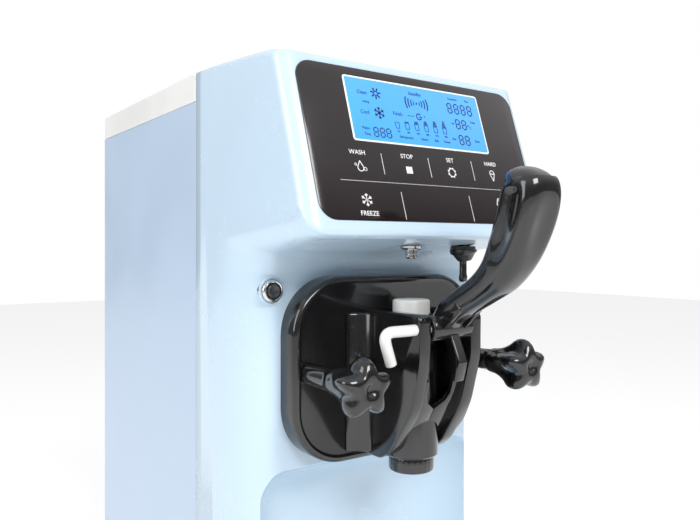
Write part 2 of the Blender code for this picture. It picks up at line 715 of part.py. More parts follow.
def cheek_outline():
    """Side outline of one cheek of the head, from the plate to its front edge."""
    root = PLATE_FRONT + 0.004
    front = -PIVOT_REACH - 0.006
    return [(fy(root), HEAD_Z + PIVOT_RISE + 0.011), (fy(front + 0.006), HEAD_Z + PIVOT_RISE + 0.011),
            (fy(front), HEAD_Z + PIVOT_RISE + 0.005), (fy(front + 0.001), HEAD_Z + 0.012),
            (fy(front + 0.009), HEAD_Z - 0.018), (fy(front + 0.022), HEAD_Z - 0.044),
            (fy(front + 0.040), HEAD_Z + HOUSING_FOOT), (fy(root), HEAD_Z + HOUSING_FOOT)]


def dispensing_head():
    """Moulded head: rounded plate, two cheeks for the handle and the upright valve housing."""
    bm = bmesh.new()
    edge = 0.004
    outer = rounded(PLATE_HALF_WIDTH, PLATE_HALF_HEIGHT, PLATE_CORNER, 6, (0.0, HEAD_Z))
    inner = rounded(PLATE_HALF_WIDTH - edge, PLATE_HALF_HEIGHT - edge, PLATE_CORNER - edge, 6,
                    (0.0, HEAD_Z))
    rings = []
    for outline, depth in ((outer, PLATE_BACK), (outer, PLATE_FRONT + edge), (inner, PLATE_FRONT)):
        rings.append([bm.verts.new((x, fy(depth), z)) for x, z in outline])
    for one, two in zip(rings, rings[1:]):
        for i in range(len(one)):
            j = (i + 1) % len(one)
            bm.faces.new((one[i], one[j], two[j], two[i]))
    bm.faces.new(list(reversed(rings[0])))
    bm.faces.new(rings[-1])
    head = build("dispensing_head", bm, (0.015, 0.015, 0.016), 0.15)
    for side, name in ((-1, "joiner_cheek_left"), (1, "joiner_cheek_right")):
        tool = bmesh.new()
        x = sorted((side * CHEEK_GAP / 2.0, side * (CHEEK_GAP / 2.0 + CHEEK_THICKNESS)))
        prism(tool, cheek_outline(), "x", x[0], x[1])
        boolean(head, tool, name, "UNION")
    tool = bmesh.new()
    rod(tool, HOUSING_RADIUS, "z", valve_spot(), HEAD_Z + HOUSING_FOOT - 0.002, HEAD_Z + HOUSING_TOP, 32)
    boolean(head, tool, "joiner_housing", "UNION")
    tool = bmesh.new()
    box(tool, (-CHEEK_GAP / 2.0 - 0.002, fy(-VALVE_REACH + 0.0011), HEAD_Z + HOUSING_FOOT + 0.001),
        (CHEEK_GAP / 2.0 + 0.002, fy(PLATE_FRONT + 0.003), HEAD_Z + HOUSING_TOP - 0.001))
    boolean(head, tool, "joiner_web", "UNION")
    tool = bmesh.new()
    rod(tool, PASSAGE_RADIUS, "y", (0.0, HEAD_Z - PASSAGE_DROP), fy(-VALVE_REACH + 0.0063), fy(0.02), 20)
    boolean(head, tool, "cutter_mix_passage")
    tool = bmesh.new()
    bore = PLUNGER_RADIUS + SLIDE_GAP
    lathe(tool, [(0.0, BAY_TOP), (0.0115, BAY_TOP), (0.0115, HEAD_Z + PLUNGER_FOOT - 0.0025),
                 (bore, HEAD_Z + PLUNGER_FOOT - 0.0015), (bore, TOP_Z), (0.0, TOP_Z)],
          "z", valve_spot(), 30)
    boolean(head, tool, "cutter_valve_bore")
    tool = bmesh.new()
    swing = FINGER_ARM * math.sin(-FINGER_START) + FINGER_TIP + 0.003
    box(tool, (-FINGER_WIDTH / 2.0 - FINGER_GAP, fy(-VALVE_REACH - 0.05), PIVOT_Z - swing),
        (FINGER_WIDTH / 2.0 + FINGER_GAP, fy(-VALVE_REACH - 0.004), TOP_Z))
    boolean(head, tool, "cutter_finger_window")
    tool = bmesh.new()
    rod(tool, PIN_RADIUS + GAP, "x", (fy(-PIVOT_REACH), PIVOT_Z), -0.08, 0.08, 20)
    for x in (-KNOB_SPREAD, KNOB_SPREAD):
        rod(tool, STUD_RADIUS + GAP, "y", (x, HEAD_Z), fy(-0.05), fy(0.05), 16)
    boolean(head, tool, "cutter_pin_and_stud_holes")
    tool = bmesh.new()
    pipe(tool, SEAL_OUTER + GAP, SEAL_INNER - GAP, "y", (0.0, HEAD_Z), fy(-0.0022), fy(0.005), 28)
    boolean(head, tool, "cutter_seal_groove")
    return head


SEAL_OUTER = CYLINDER_BORE + CYLINDER_WALL + 0.001
SEAL_INNER = CYLINDER_BORE - 0.001


def head_fittings():
    """Seal, studs, star knobs, nozzle cap and the mount plate behind the moulding."""
    bm = bmesh.new()
    pipe(bm, SEAL_OUTER, SEAL_INNER, "y", (0.0, HEAD_Z), fy(-0.0022 + GAP), fy(GAP), 28)
    build("head_seal", bm, (0.75, 0.30, 0.22), 0.7)
    plate_face = SHELL_WALL + 2 * GAP
    bm = bmesh.new()
    prism(bm, rounded(PLATE_HALF_WIDTH - 0.003, 0.058, 0.012, 3, (0.0, HEAD_Z)), "y",
          fy(plate_face), fy(plate_face + 0.004))
    plate = build("mount_plate", bm, (0.70, 0.71, 0.72), 0.35, 1.0)
    tool = bmesh.new()
    rod(tool, CYLINDER_BORE + CYLINDER_WALL + GAP, "y", (0.0, HEAD_Z), fy(-0.01), fy(0.02), 28)
    for x in (-KNOB_SPREAD, KNOB_SPREAD):
        rod(tool, STUD_RADIUS + GAP, "y", (x, HEAD_Z), fy(-0.01), fy(0.02), 16)
    boolean(plate, tool, "cutter_mount_plate_holes")
    for side, word in ((-1, "left"), (1, "right")):
        x = side * KNOB_SPREAD
        bm = bmesh.new()
        rod(bm, STUD_RADIUS, "y", (x, HEAD_Z), fy(-KNOB_REACH + 0.022), fy(plate_face + 0.012), 16)
        build("stud_" + word, bm, (0.75, 0.75, 0.76), 0.3, 1.0)
        star_knob("knob_" + word, x)
    bm = bmesh.new()
    cx, cy = valve_spot()
    top = HEAD_Z + HOUSING_FOOT - 0.002 - GAP
    low = HEAD_Z - NOZZLE_DROP
    lathe(bm, [(0.0080, low), (NOZZLE_RADIUS - 0.001, low), (NOZZLE_RADIUS, low + 0.001),
               (NOZZLE_RADIUS, top), (0.0110, top), (0.0110, low + 0.004), (0.0080, low + 0.004)],
          "z", (cx, cy), 24)
    build("nozzle_cap", bm, (0.02, 0.02, 0.02), 0.3, 0.0, (cx, cy, low))


def star_knob(name, x):
    """Five lobed black knob on a flared neck, with a blind hole for the stud."""
    face, star_back = -KNOB_REACH, -KNOB_REACH + 0.020
    rows = [(face, 0.80, 0.6), (face + 0.004, 1.0, 1.0), (star_back - 0.001, 1.0, 1.0), (star_back + 0.004, 0.62, 0.5),
            (-0.056, 0.48, 0.0), (PLATE_FRONT - GAP, 0.37, 0.0)]
    steps = 30
    bm = bmesh.new()
    rings = []
    for behind, share, star in rows:
        ring = []
        for i in range(steps):
            turn = 2.0 * math.pi * i / steps
            wave = 0.5 - 0.5 * math.cos(KNOB_LOBES * turn)
            radius = KNOB_RADIUS * share * (1.0 - 0.30 * star * wave)
            ring.append(bm.verts.new((x + radius * math.sin(turn), fy(behind),
                                      HEAD_Z + radius * math.cos(turn))))
        rings.append(ring)
    for one, two in zip(rings, rings[1:]):
        for i in range(steps):
            j = (i + 1) % steps
            bm.faces.new((one[i], one[j], two[j], two[i]))
    bm.faces.new(list(reversed(rings[0])))
    bm.faces.new(rings[-1])
    knob = build(name, bm, (0.015, 0.015, 0.016), 0.12, 0.0, (x, fy(PLATE_FRONT - GAP), HEAD_Z))
    tool = bmesh.new()
    rod(tool, STUD_RADIUS + GAP, "y", (x, HEAD_Z), fy(-KNOB_REACH + 0.0215), fy(0.01), 16)
    boolean(knob, tool, "cutter_" + name + "_bore")


def valve():
    """White plunger with a slot for the handle finger, and its two O-rings."""
    cx, cy = valve_spot()
    top, foot = HEAD_Z + PLUNGER_TOP, HEAD_Z + PLUNGER_FOOT
    radius = PLUNGER_RADIUS
    profile = [(0.0, foot), (radius - 0.002, foot), (radius, foot + 0.002)]
    ring_places = (foot + 0.0040, foot + 0.0300)
    for place in ring_places:
        profile += [(radius, place), (radius - 0.0019, place), (radius - 0.0019, place + 0.0032),
                    (radius, place + 0.0032)]
    profile += [(radius, top - 0.0012), (radius - 0.0012, top), (0.0, top)]
    bm = bmesh.new()
    lathe(bm, profile, "z", (cx, cy), 24)
    plunger = build("valve_plunger", bm, (0.80, 0.80, 0.77), 0.4, 0.0, (cx, cy, foot))
    tip_z = PIVOT_Z + FINGER_ARM * math.sin(FINGER_START)
    half = FINGER_TIP + FINGER_GAP
    deepest = -PIVOT_REACH + FINGER_ARM + FINGER_TIP + FINGER_GAP
    tool = bmesh.new()
    box(tool, (-FINGER_WIDTH / 2.0 - FINGER_GAP, cy - 0.03, tip_z - half),
        (FINGER_WIDTH / 2.0 + FINGER_GAP, fy(deepest), tip_z + half))
    boolean(plunger, tool, "cutter_finger_slot")
    for word, place in zip(("lower", "upper"), ring_places):
        bm = bmesh.new()
        middle, half_height = place + 0.0016, 0.0013
        outer, inner = radius + SLIDE_GAP - 0.0002, radius - 0.0019 + 0.0002
        lathe(bm, [(inner, middle - half_height), (outer - 0.0004, middle - half_height),
                   (outer, middle), (outer - 0.0004, middle + half_height),
                   (inner, middle + half_height)], "z", (cx, cy), 20)
        build("plunger_ring_" + word, bm, (0.55, 0.12, 0.08), 0.6)


def grip_point(ahead, above):
    """World y and z of a handle point given ahead of the front face and above the pivot."""
    return (fy(-ahead), PIVOT_Z + above)


def draw_handle():
    """Draw handle: barrel on the pin, arm to a waisted grip, stop tongue and valve finger."""
    origin = (0.0, fy(-PIVOT_REACH), PIVOT_Z)
    rows = [(0.083, 0.002, 0.0085, 0.0120), (0.092, 0.012, 0.0100, 0.0120), (0.108, 0.022, 0.0105, 0.0115),
            (0.124, 0.031, 0.0110, 0.0120), (0.140, 0.043, 0.0140, 0.0145), (0.152, 0.060, 0.0170, 0.0165),
            (0.161, 0.080, 0.0180, 0.0178), (0.165, 0.096, 0.0175, 0.0180), (0.164, 0.105, 0.0140, 0.0150),
            (0.1625, 0.1125, 0.0070, 0.0080)]
    bm = bmesh.new()
    rings = []
    steps = 12
    for i, (ahead, above, deep, wide) in enumerate(rows):
        near, far = rows[max(i - 1, 0)], rows[min(i + 1, len(rows) - 1)]
        along = Vector((0.0, -(far[0] - near[0]), far[1] - near[1])).normalized()
        across = Vector((1.0, 0.0, 0.0)).cross(along)
        y, z = grip_point(ahead, above)
        ring = []
        for k in range(steps):
            turn = 2.0 * math.pi * k / steps
            c, s = math.cos(turn), math.sin(turn)
            c, s = math.copysign(abs(c) ** 0.75, c), math.copysign(abs(s) ** 0.75, s)
            ring.append(bm.verts.new(Vector((wide * c, y, z)) + across * deep * s))
        rings.append(ring)
    for one, two in zip(rings, rings[1:]):
        for k in range(steps):
            j = (k + 1) % steps
            bm.faces.new((one[k], one[j], two[j], two[k]))
    bm.faces.new(list(reversed(rings[0])))
    bm.faces.new(rings[-1])
    handle = build("draw_handle", bm, (0.015, 0.015, 0.016), 0.2, 0.0, origin)
    half = CHEEK_GAP / 2.0 - SLIDE_GAP
    tool = bmesh.new()
    rod(tool, BARREL_RADIUS, "x", (fy(-PIVOT_REACH), PIVOT_Z), -half, half, 24)
    boolean(handle, tool, "joiner_barrel", "UNION")
    tool = bmesh.new()
    outline = [(0.088, -0.004), (0.095, -0.006), (0.103, -0.025), (0.098, -0.039), (0.093, -0.038),
               (0.090, -0.030), (0.089, -0.008)]
    prism(tool, [grip_point(*point) for point in outline], "x", -0.004, 0.004)
    boolean(handle, tool, "joiner_stop_tongue", "UNION")
    tool = bmesh.new()
    reach = Vector((math.cos(FINGER_START), math.sin(FINGER_START)))
    side = Vector((-reach.y, reach.x)) * (FINGER_TIP - 0.0008)
    start, end = reach * 0.006, reach * FINGER_ARM
    corners = [start - side, end - side, end + side, start + side]
    prism(tool, [(fy(-PIVOT_REACH) + c.x, PIVOT_Z + c.y) for c in corners], "x",
          -FINGER_WIDTH / 2.0, FINGER_WIDTH / 2.0)
    boolean(handle, tool, "joiner_finger", "UNION")
    tool = bmesh.new()
    rod(tool, FINGER_TIP, "x", (fy(-PIVOT_REACH) + end.x, PIVOT_Z + end.y),
        -FINGER_WIDTH / 2.0 - 0.0002, FINGER_WIDTH / 2.0 + 0.0002, 16)
    boolean(handle, tool, "joiner_finger_tip", "UNION")
    tool = bmesh.new()
    rod(tool, PIN_RADIUS + SLIDE_GAP, "x", (fy(-PIVOT_REACH), PIVOT_Z), -0.05, 0.05, 20)
    boolean(handle, tool, "cutter_handle_bore")


def handle_pin():
    """White angled pin: straight through both cheeks, its free end bent down as a grip."""
    cheek = CHEEK_GAP / 2.0 + CHEEK_THICKNESS
    y = fy(-PIVOT_REACH)
    knee = -cheek - PIN_OVERHANG + PIN_RADIUS
    path = bend([(cheek - 0.001, y, PIVOT_Z), (knee, y, PIVOT_Z),
                 (knee + PIN_LEAN, y - 0.0005, PIVOT_Z - PIN_LEG)], 0.009)
    bm = bmesh.new()
    sweep(bm, path, PIN_RADIUS, 16)
    build("handle_pin", bm, (0.82, 0.82, 0.80), 0.4, 0.0, (0.0, y, PIVOT_Z))


# ---------------------------------------------------------------- hopper and air tube

FLANGE_TOP = TOP_Z + GAP + 0.0012
HOPPER_FLOOR = FLANGE_TOP - HOPPER_DEPTH


def stack(bm, rows, closed=False):
    """Loft hopper shaped outlines given as (grow, z); ends are capped unless the stack is a ring."""
    rings = [[bm.verts.new((x, y, z)) for x, y in hopper_outline(grow)] for grow, z in rows]
    pairs = list(zip(rings, rings[1:])) + ([(rings[-1], rings[0])] if closed else [])
    for one, two in pairs:
        for i in range(len(one)):
            j = (i + 1) % len(one)
            bm.faces.new((one[i], one[j], two[j], two[i]))
    if not closed:
        bm.faces.new(list(reversed(rings[0])))
        bm.faces.new(rings[-1])


def hopper():
    """Pressed steel hopper: flange on the cover, and a spout welded to its floor over the cylinder."""
    wall = HOPPER_WALL
    bm = bmesh.new()
    stack(bm, [(-wall - 0.006, HOPPER_FLOOR + wall), (-wall, HOPPER_FLOOR + wall + 0.006),
               (-wall, FLANGE_TOP), (FLANGE_WIDTH, FLANGE_TOP), (FLANGE_WIDTH, TOP_Z + GAP),
               (0.0, TOP_Z + GAP), (0.0, HOPPER_FLOOR + 0.006), (-0.006, HOPPER_FLOOR)])
    tub = build("hopper", bm, (0.72, 0.72, 0.73), 0.28, 1.0)
    bore = AIR_TUBE_RADIUS + GAP
    outlet = (0.0, fy(FEED_BACK))
    tool = bmesh.new()
    rod(tool, bore + 0.002, "z", outlet, HEAD_Z + CYLINDER_BORE + CYLINDER_WALL + GAP,
        HOPPER_FLOOR + 0.5 * wall)
    boolean(tub, tool, "joiner_hopper_spout", "UNION")
    tool = bmesh.new()
    rod(tool, bore, "z", outlet, HEAD_Z, HOPPER_FLOOR + 0.01)
    boolean(tub, tool, "cutter_hopper_outlet")


def hopper_lid():
    """Lift-off lid with a rim over the hopper flange, a finger ridge, and a soft seal under it."""
    under = FLANGE_TOP + GAP
    rim = FLANGE_WIDTH + SLIDE_GAP
    edge = rim + LID_RIM
    top = under + LID_THICKNESS
    middle = fy((HOPPER_FRONT + HOPPER_BACK) / 2.0)
    bm = bmesh.new()
    stack(bm, [(rim, under), (rim, TOP_Z + GAP), (edge, TOP_Z + GAP), (edge, top - 0.0012),
               (edge - 0.0012, top)])
    lid = build("hopper_lid", bm, (0.80, 0.80, 0.78), 0.4, 0.0, (0.0, middle, under))
    tool = bmesh.new()
    prism(tool, rounded(0.034, 0.007, 0.0065, 4, (0.0, middle)), "z", top - 0.002, TOP_Z + 0.0098)
    boolean(lid, tool, "joiner_lid_ridge", "UNION")
    bm = bmesh.new()
    out, inn, low = -HOPPER_WALL - SLIDE_GAP, -HOPPER_WALL - 0.005, under - 0.007
    stack(bm, [(out, low), (out, under - GAP), (inn, under - GAP), (inn, low)], True)
    build("lid_seal", bm, (0.75, 0.75, 0.72), 0.7)


def air_tubes():
    """The two nested tubes that stand in the hopper outlet and meter mix and air."""
    spot_xy = (0.0, fy(FEED_BACK))
    inner = AIR_TUBE_RADIUS - AIR_TUBE_WALL
    bm = bmesh.new()
    pipe(bm, AIR_TUBE_RADIUS, inner, "z", spot_xy, HOPPER_FLOOR - 0.012, FLANGE_TOP - 0.018)
    outer_tube = build("air_tube_outer", bm, (0.85, 0.85, 0.84), 0.4)
    slim = inner - SLIDE_GAP
    bm = bmesh.new()
    lathe(bm, [(slim - 0.0014, HOPPER_FLOOR - 0.008), (slim, HOPPER_FLOOR - 0.008),
               (slim, FLANGE_TOP - 0.018 + SLIDE_GAP), (AIR_TUBE_RADIUS, FLANGE_TOP - 0.018 + SLIDE_GAP),
               (AIR_TUBE_RADIUS, FLANGE_TOP - 0.011), (slim - 0.0014, FLANGE_TOP - 0.011)],
          "z", spot_xy)
    inner_tube = build("air_tube_inner", bm, (0.30, 0.42, 0.60), 0.4, 0.0,
                       (0.0, fy(FEED_BACK), HOPPER_FLOOR))
    for target, name in ((outer_tube, "cutter_outer_port"), (inner_tube, "cutter_inner_port")):
        tool = bmesh.new()
        rod(tool, 0.0018, "y", (0.0, HOPPER_FLOOR + 0.012), fy(FEED_BACK - 0.02), fy(FEED_BACK), 12)
        boolean(target, tool, name)


# ---------------------------------------------------------------- freezing cylinder and drive

def freezing_cylinder():
    """Steel cylinder behind the head, closed at the rear round the beater shaft."""
    front, rear = fy(0.0008), fy(CYLINDER_LENGTH)
    outer = CYLINDER_BORE + CYLINDER_WALL
    bm = bmesh.new()
    lathe(bm, [(CYLINDER_BORE, front), (outer, front), (outer, rear), (BEATER_SHAFT + 0.001, rear),
               (BEATER_SHAFT + 0.001, rear - 0.004), (CYLINDER_BORE, rear - 0.004)],
          "y", (0.0, HEAD_Z), 28)
    cylinder = build("freezing_cylinder", bm, (0.72, 0.72, 0.73), 0.28, 1.0)
    tool = bmesh.new()
    rod(tool, AIR_TUBE_RADIUS, "z", (0.0, fy(FEED_BACK)), HEAD_Z + 0.02, HEAD_Z + 0.08, 16)
    boolean(cylinder, tool, "cutter_mix_inlet")


COIL_FRONT = 0.030
COIL_BACK = CYLINDER_LENGTH - 0.045
COIL_RADIUS = CYLINDER_BORE + CYLINDER_WALL + COIL_TUBE + GAP
JACKET_INNER = COIL_RADIUS + COIL_TUBE + GAP
JACKET_OUTER = JACKET_INNER + INSULATION_WALL


def evaporator():
    """Copper coil round the cylinder and the foam jacket over it."""
    steps = COIL_TURNS * 18
    path = []
    for i in range(steps + 1):
        turn = 2.0 * math.pi * i / 18.0
        y = fy(COIL_FRONT + (COIL_BACK - COIL_FRONT) * i / steps)
        path.append((COIL_RADIUS * math.cos(turn) * 1.004, y, HEAD_Z + COIL_RADIUS * math.sin(turn) * 1.004))
    bm = bmesh.new()
    sweep(bm, path, COIL_TUBE - GAP, 5)
    build("evaporator_coil", bm, (0.72, 0.38, 0.22), 0.3, 1.0)
    bm = bmesh.new()
    pipe(bm, JACKET_OUTER, JACKET_INNER + 0.0006, "y", (0.0, HEAD_Z), fy(0.018), fy(COIL_BACK + 0.012), 24)
    build("insulation_jacket", bm, (0.80, 0.74, 0.55), 0.9)


def beater():
    """Twisted beater with its drive shaft, and the seal behind the cylinder."""
    steps, sides = 16, 12
    wide = CYLINDER_BORE - 0.0015
    front, back = 0.006, CYLINDER_LENGTH - 0.008
    rows = [(front - 0.002, 0.010, 0.004, 0.0)]
    for i in range(steps + 1):
        share = i / steps
        rows.append((front + (back - front) * share, wide, 0.007,
                     2.0 * math.pi * BEATER_TURNS * share))
    rows += [(back + 0.001, BEATER_SHAFT, BEATER_SHAFT, 0.0),
             (CYLINDER_LENGTH + 0.022, BEATER_SHAFT, BEATER_SHAFT, 0.0)]
    bm = bmesh.new()
    rings = []
    for behind, a, b, twist in rows:
        ring = []
        for k in range(sides):
            turn = 2.0 * math.pi * k / sides
            x, z = a * math.cos(turn), b * math.sin(turn)
            ring.append(bm.verts.new((x * math.cos(twist) - z * math.sin(twist), fy(behind),
                                      HEAD_Z + x * math.sin(twist) + z * math.cos(twist))))
        rings.append(ring)
    for one, two in zip(rings, rings[1:]):
        for k in range(sides):
            j = (k + 1) % sides
            bm.faces.new((one[k], one[j], two[j], two[k]))
    bm.faces.new(list(reversed(rings[0])))
    bm.faces.new(rings[-1])
    build("beater", bm, (0.78, 0.78, 0.76), 0.4, 0.0, (0.0, fy(CYLINDER_LENGTH), HEAD_Z))
    bm = bmesh.new()
    pipe(bm, BEATER_SHAFT + 0.007, BEATER_SHAFT + SLIDE_GAP, "y", (0.0, HEAD_Z),
         fy(CYLINDER_LENGTH + GAP), fy(CYLINDER_LENGTH + 0.007), 24)
    build("shaft_seal", bm, (0.05, 0.05, 0.05), 0.7)


GEARBOX_FRONT = CYLINDER_LENGTH + 0.010
GEARBOX_BACK = GEARBOX_FRONT + GEARBOX_SIZE[1]
PULLEY_FRONT = GEARBOX_BACK + 0.014
PULLEY_BACK = PULLEY_FRONT + PULLEY_WIDTH
SHAFT_RADIUS = 0.006


def gearbox_and_motor():
    """Cast gearbox on its stand and the drive motor under the cylinder."""
    bm = bmesh.new()
    half_x, half_z = GEARBOX_SIZE[0] / 2.0, GEARBOX_SIZE[2] / 2.0
    prism(bm, rounded(half_x, half_z, 0.010, 3, (0.0, HEAD_Z)), "y", fy(GEARBOX_FRONT), fy(GEARBOX_BACK))
    gearbox = build("gearbox", bm, (0.45, 0.46, 0.47), 0.5, 1.0)
    tool = bmesh.new()
    rod(tool, BEATER_SHAFT + SLIDE_GAP, "y", (0.0, HEAD_Z), fy(GEARBOX_FRONT - 0.01),
        fy(CYLINDER_LENGTH + 0.023))
    rod(tool, SHAFT_RADIUS + SLIDE_GAP, "y", (0.0, HEAD_Z), fy(GEARBOX_BACK - 0.0155),
        fy(GEARBOX_BACK + 0.01))
    boolean(gearbox, tool, "cutter_gearbox_bores")
    bm = bmesh.new()
    rear = GEARBOX_BACK
    front = rear - MOTOR_LENGTH
    lathe(bm, [(0.0, fy(front)), (MOTOR_RADIUS - 0.008, fy(front)), (MOTOR_RADIUS, fy(front + 0.006)),
               (MOTOR_RADIUS, fy(rear - 0.006)), (MOTOR_RADIUS - 0.008, fy(rear)), (0.0, fy(rear))],
          "y", (0.0, MOTOR_Z), 22)
    motor = build("drive_motor", bm, (0.12, 0.13, 0.15), 0.5)
    tool = bmesh.new()
    box(tool, (-0.028, fy(front + 0.008), SHELF_Z + 0.002 + GAP), (0.028, fy(rear - 0.010), MOTOR_Z - 0.03))
    boolean(motor, tool, "joiner_motor_foot", "UNION")
    tool = bmesh.new()
    rod(tool, SHAFT_RADIUS + SLIDE_GAP, "y", (0.0, MOTOR_Z), fy(rear - 0.0155), fy(rear + 0.01))
    boolean(motor, tool, "cutter_motor_bore")


def pulley(name, radius, z):
    """Flanged belt pulley with its shaft."""
    front, back = fy(PULLEY_FRONT), fy(PULLEY_BACK)
    bm = bmesh.new()
    lathe(bm, [(0.0, fy(GEARBOX_BACK - 0.015)), (SHAFT_RADIUS, fy(GEARBOX_BACK - 0.015)),
               (SHAFT_RADIUS, front - 0.004), (0.012, front - 0.004), (0.012, front), (radius + 0.003, front),
               (radius + 0.003, front + 0.0015), (radius, front + 0.0018), (radius, back - 0.0018),
               (radius + 0.003, back - 0.0015), (radius + 0.003, back), (0.0, back)],
          "y", (0.0, z), 24)
    build(name, bm, (0.62, 0.63, 0.64), 0.35, 1.0, (0.0, front, z))


def belt_loop(grow):
    """Outline of the belt round both pulleys."""
    big, small = REDUCER_RADIUS + grow, MOTOR_PULLEY_RADIUS + grow
    lean = math.asin((big - small) / MOTOR_DROP)
    outline = []
    for i in range(17):
        turn = -lean + (math.pi + 2.0 * lean) * i / 16
        outline.append((big * math.cos(turn), HEAD_Z + big * math.sin(turn)))
    for i in range(9):
        turn = math.pi + lean + (math.pi - 2.0 * lean) * i / 8
        outline.append((small * math.cos(turn), MOTOR_Z + small * math.sin(turn)))
    return outline


def drive():
    """Both pulleys and the flat belt."""
    pulley("reducer_pulley", REDUCER_RADIUS, HEAD_Z)
    pulley("motor_pulley", MOTOR_PULLEY_RADIUS, MOTOR_Z)
    outer, inner = belt_loop(0.0012 + BELT_THICKNESS), belt_loop(0.0012)
    bm = bmesh.new()
    rings = []
    for outline, behind in ((inner, PULLEY_FRONT + 0.0025), (outer, PULLEY_FRONT + 0.0025),
                            (outer, PULLEY_BACK - 0.0025), (inner, PULLEY_BACK - 0.0025)):
        rings.append([bm.verts.new((x, fy(behind), z)) for x, z in outline])
    for one, two in zip(rings, rings[1:] + rings[:1]):
        for i in range(len(one)):
            j = (i + 1) % len(one)
            bm.faces.new((one[i], one[j], two[j], two[i]))
    build("drive_belt", bm, (0.03, 0.03, 0.03), 0.8)


# ---------------------------------------------------------------- refrigeration and power

CONDENSER_BACK = BODY_DEPTH - 0.006
CONDENSER_FRONT = CONDENSER_BACK - CONDENSER_SIZE[1]
SHROUD_BACK = CONDENSER_FRONT - GAP
SHROUD_FRONT = SHROUD_BACK - 0.036
COMPRESSOR_X = -0.030


def compressor():
    """Welded hermetic compressor standing on the pan."""
    low = FOOT_HEIGHT + PAN_FLOOR + 2 * GAP
    tall = COMPRESSOR_HEIGHT
    top = low + tall
    r = COMPRESSOR_RADIUS
    bm = bmesh.new()
    lathe(bm, [(0.0, low), (r + 0.004, low), (r + 0.004, low + 0.003), (r - 0.010, low + 0.006),
               (r, low + 0.14 * tall), (r, low + 0.54 * tall), (r + 0.002, low + 0.56 * tall),
               (r, low + 0.58 * tall), (r, top - 0.215 * tall), (r - 0.012, top - 0.062 * tall), (0.0, top)],
          "z", (COMPRESSOR_X, fy(COMPRESSOR_BACK)), 22)
    build("compressor", bm, (0.02, 0.02, 0.02), 0.35)


def condenser():
    """Finned condenser block inside the rear panel; deep grooves stand for the fin pack."""
    half_x, half_z = CONDENSER_SIZE[0] / 2.0, CONDENSER_HEIGHT / 2.0
    bm = bmesh.new()
    box(bm, (-half_x, fy(CONDENSER_FRONT), CONDENSER_Z - half_z),
        (half_x, fy(CONDENSER_BACK), CONDENSER_Z + half_z))
    block = build("condenser", bm, (0.60, 0.60, 0.60), 0.4, 1.0)
    tool = bmesh.new()
    for i in range(15):
        x = -half_x + 0.012 + (CONDENSER_SIZE[0] - 0.024) * i / 14
        for lo, hi in ((CONDENSER_FRONT - 0.01, CONDENSER_FRONT + 0.007),
                       (CONDENSER_BACK - 0.007, CONDENSER_BACK + 0.01)):
            box(tool, (x - 0.003, fy(lo), CONDENSER_Z - half_z + 0.008),
                (x + 0.003, fy(hi), CONDENSER_Z + half_z - 0.008))
    boolean(block, tool, "cutter_fin_grooves")


def fan():
    """Fan shroud with its motor strut, the fan motor and the five bladed fan."""
    half_x, half_z = CONDENSER_SIZE[0] / 2.0 - 0.005, CONDENSER_HEIGHT / 2.0 - 0.002
    centre = (0.0, CONDENSER_Z)
    bm = bmesh.new()
    box(bm, (-half_x, fy(SHROUD_FRONT), CONDENSER_Z - half_z), (half_x, fy(SHROUD_BACK), CONDENSER_Z + half_z))
    shroud = build("fan_shroud", bm, (0.10, 0.10, 0.11), 0.5)
    tool = bmesh.new()
    box(tool, (-half_x + SHEET, fy(SHROUD_FRONT + 0.003), CONDENSER_Z - half_z + SHEET),
        (half_x - SHEET, fy(SHROUD_BACK - 0.004), CONDENSER_Z + half_z - SHEET))
    boolean(shroud, tool, "cutter_shroud_inside")
    tool = bmesh.new()
    for side in (-1, 1):
        z = sorted((CONDENSER_Z + side * 0.010, CONDENSER_Z + side * (half_z - 0.004)))
        box(tool, (-half_x + 0.004, fy(SHROUD_FRONT - 0.01), z[0]),
            (half_x - 0.004, fy(SHROUD_FRONT + 0.01), z[1]))
    boolean(shroud, tool, "cutter_shroud_front")
    tool = bmesh.new()
    rod(tool, FAN_RADIUS + 0.003, "y", centre, fy(SHROUD_BACK - 0.01), fy(SHROUD_BACK + 0.01), 36)
    rod(tool, 0.0045, "y", centre, fy(SHROUD_FRONT - 0.01), fy(SHROUD_FRONT + 0.01), 16)
    boolean(shroud, tool, "cutter_shroud_openings")
    bm = bmesh.new()
    lathe(bm, [(0.0, fy(SHROUD_FRONT - 0.030)), (0.020, fy(SHROUD_FRONT - 0.030)),
               (0.020, fy(SHROUD_FRONT - GAP)), (0.0042, fy(SHROUD_FRONT - GAP)),
               (0.0042, fy(SHROUD_FRONT + 0.0060)), (0.0, fy(SHROUD_FRONT + 0.0060))], "y", centre, 24)
    build("fan_motor", bm, (0.30, 0.31, 0.33), 0.5, 1.0)
    bm = bmesh.new()
    hub_front, hub_back = fy(SHROUD_FRONT + 0.0070), fy(SHROUD_FRONT + 0.024)
    rod(bm, 0.016, "y", centre, hub_front, hub_back, 16)
    blades = build("fan", bm, (0.55, 0.56, 0.58), 0.4, 0.0, (0.0, hub_front, CONDENSER_Z))
    tool = bmesh.new()
    for k in range(FAN_BLADES):
        middle = 2.0 * math.pi * k / FAN_BLADES
        rings = []
        for radius in (0.014, FAN_RADIUS * 0.6, FAN_RADIUS):
            ring = []
            for lead, shift in ((-0.30, -0.005), (0.30, 0.005), (0.30, 0.0066), (-0.30, -0.0034)):
                turn = middle + lead
                ring.append(tool.verts.new((radius * math.cos(turn), (hub_front + hub_back) / 2.0 + shift,
                                            CONDENSER_Z + radius * math.sin(turn))))
            rings.append(ring)
        for one, two in zip(rings, rings[1:]):
            for i in range(4):
                j = (i + 1) % 4
                tool.faces.new((one[i], one[j], two[j], two[i]))
        tool.faces.new(list(reversed(rings[0])))
        tool.faces.new(rings[-1])
    boolean(blades, tool, "joiner_fan_blades", "UNION")


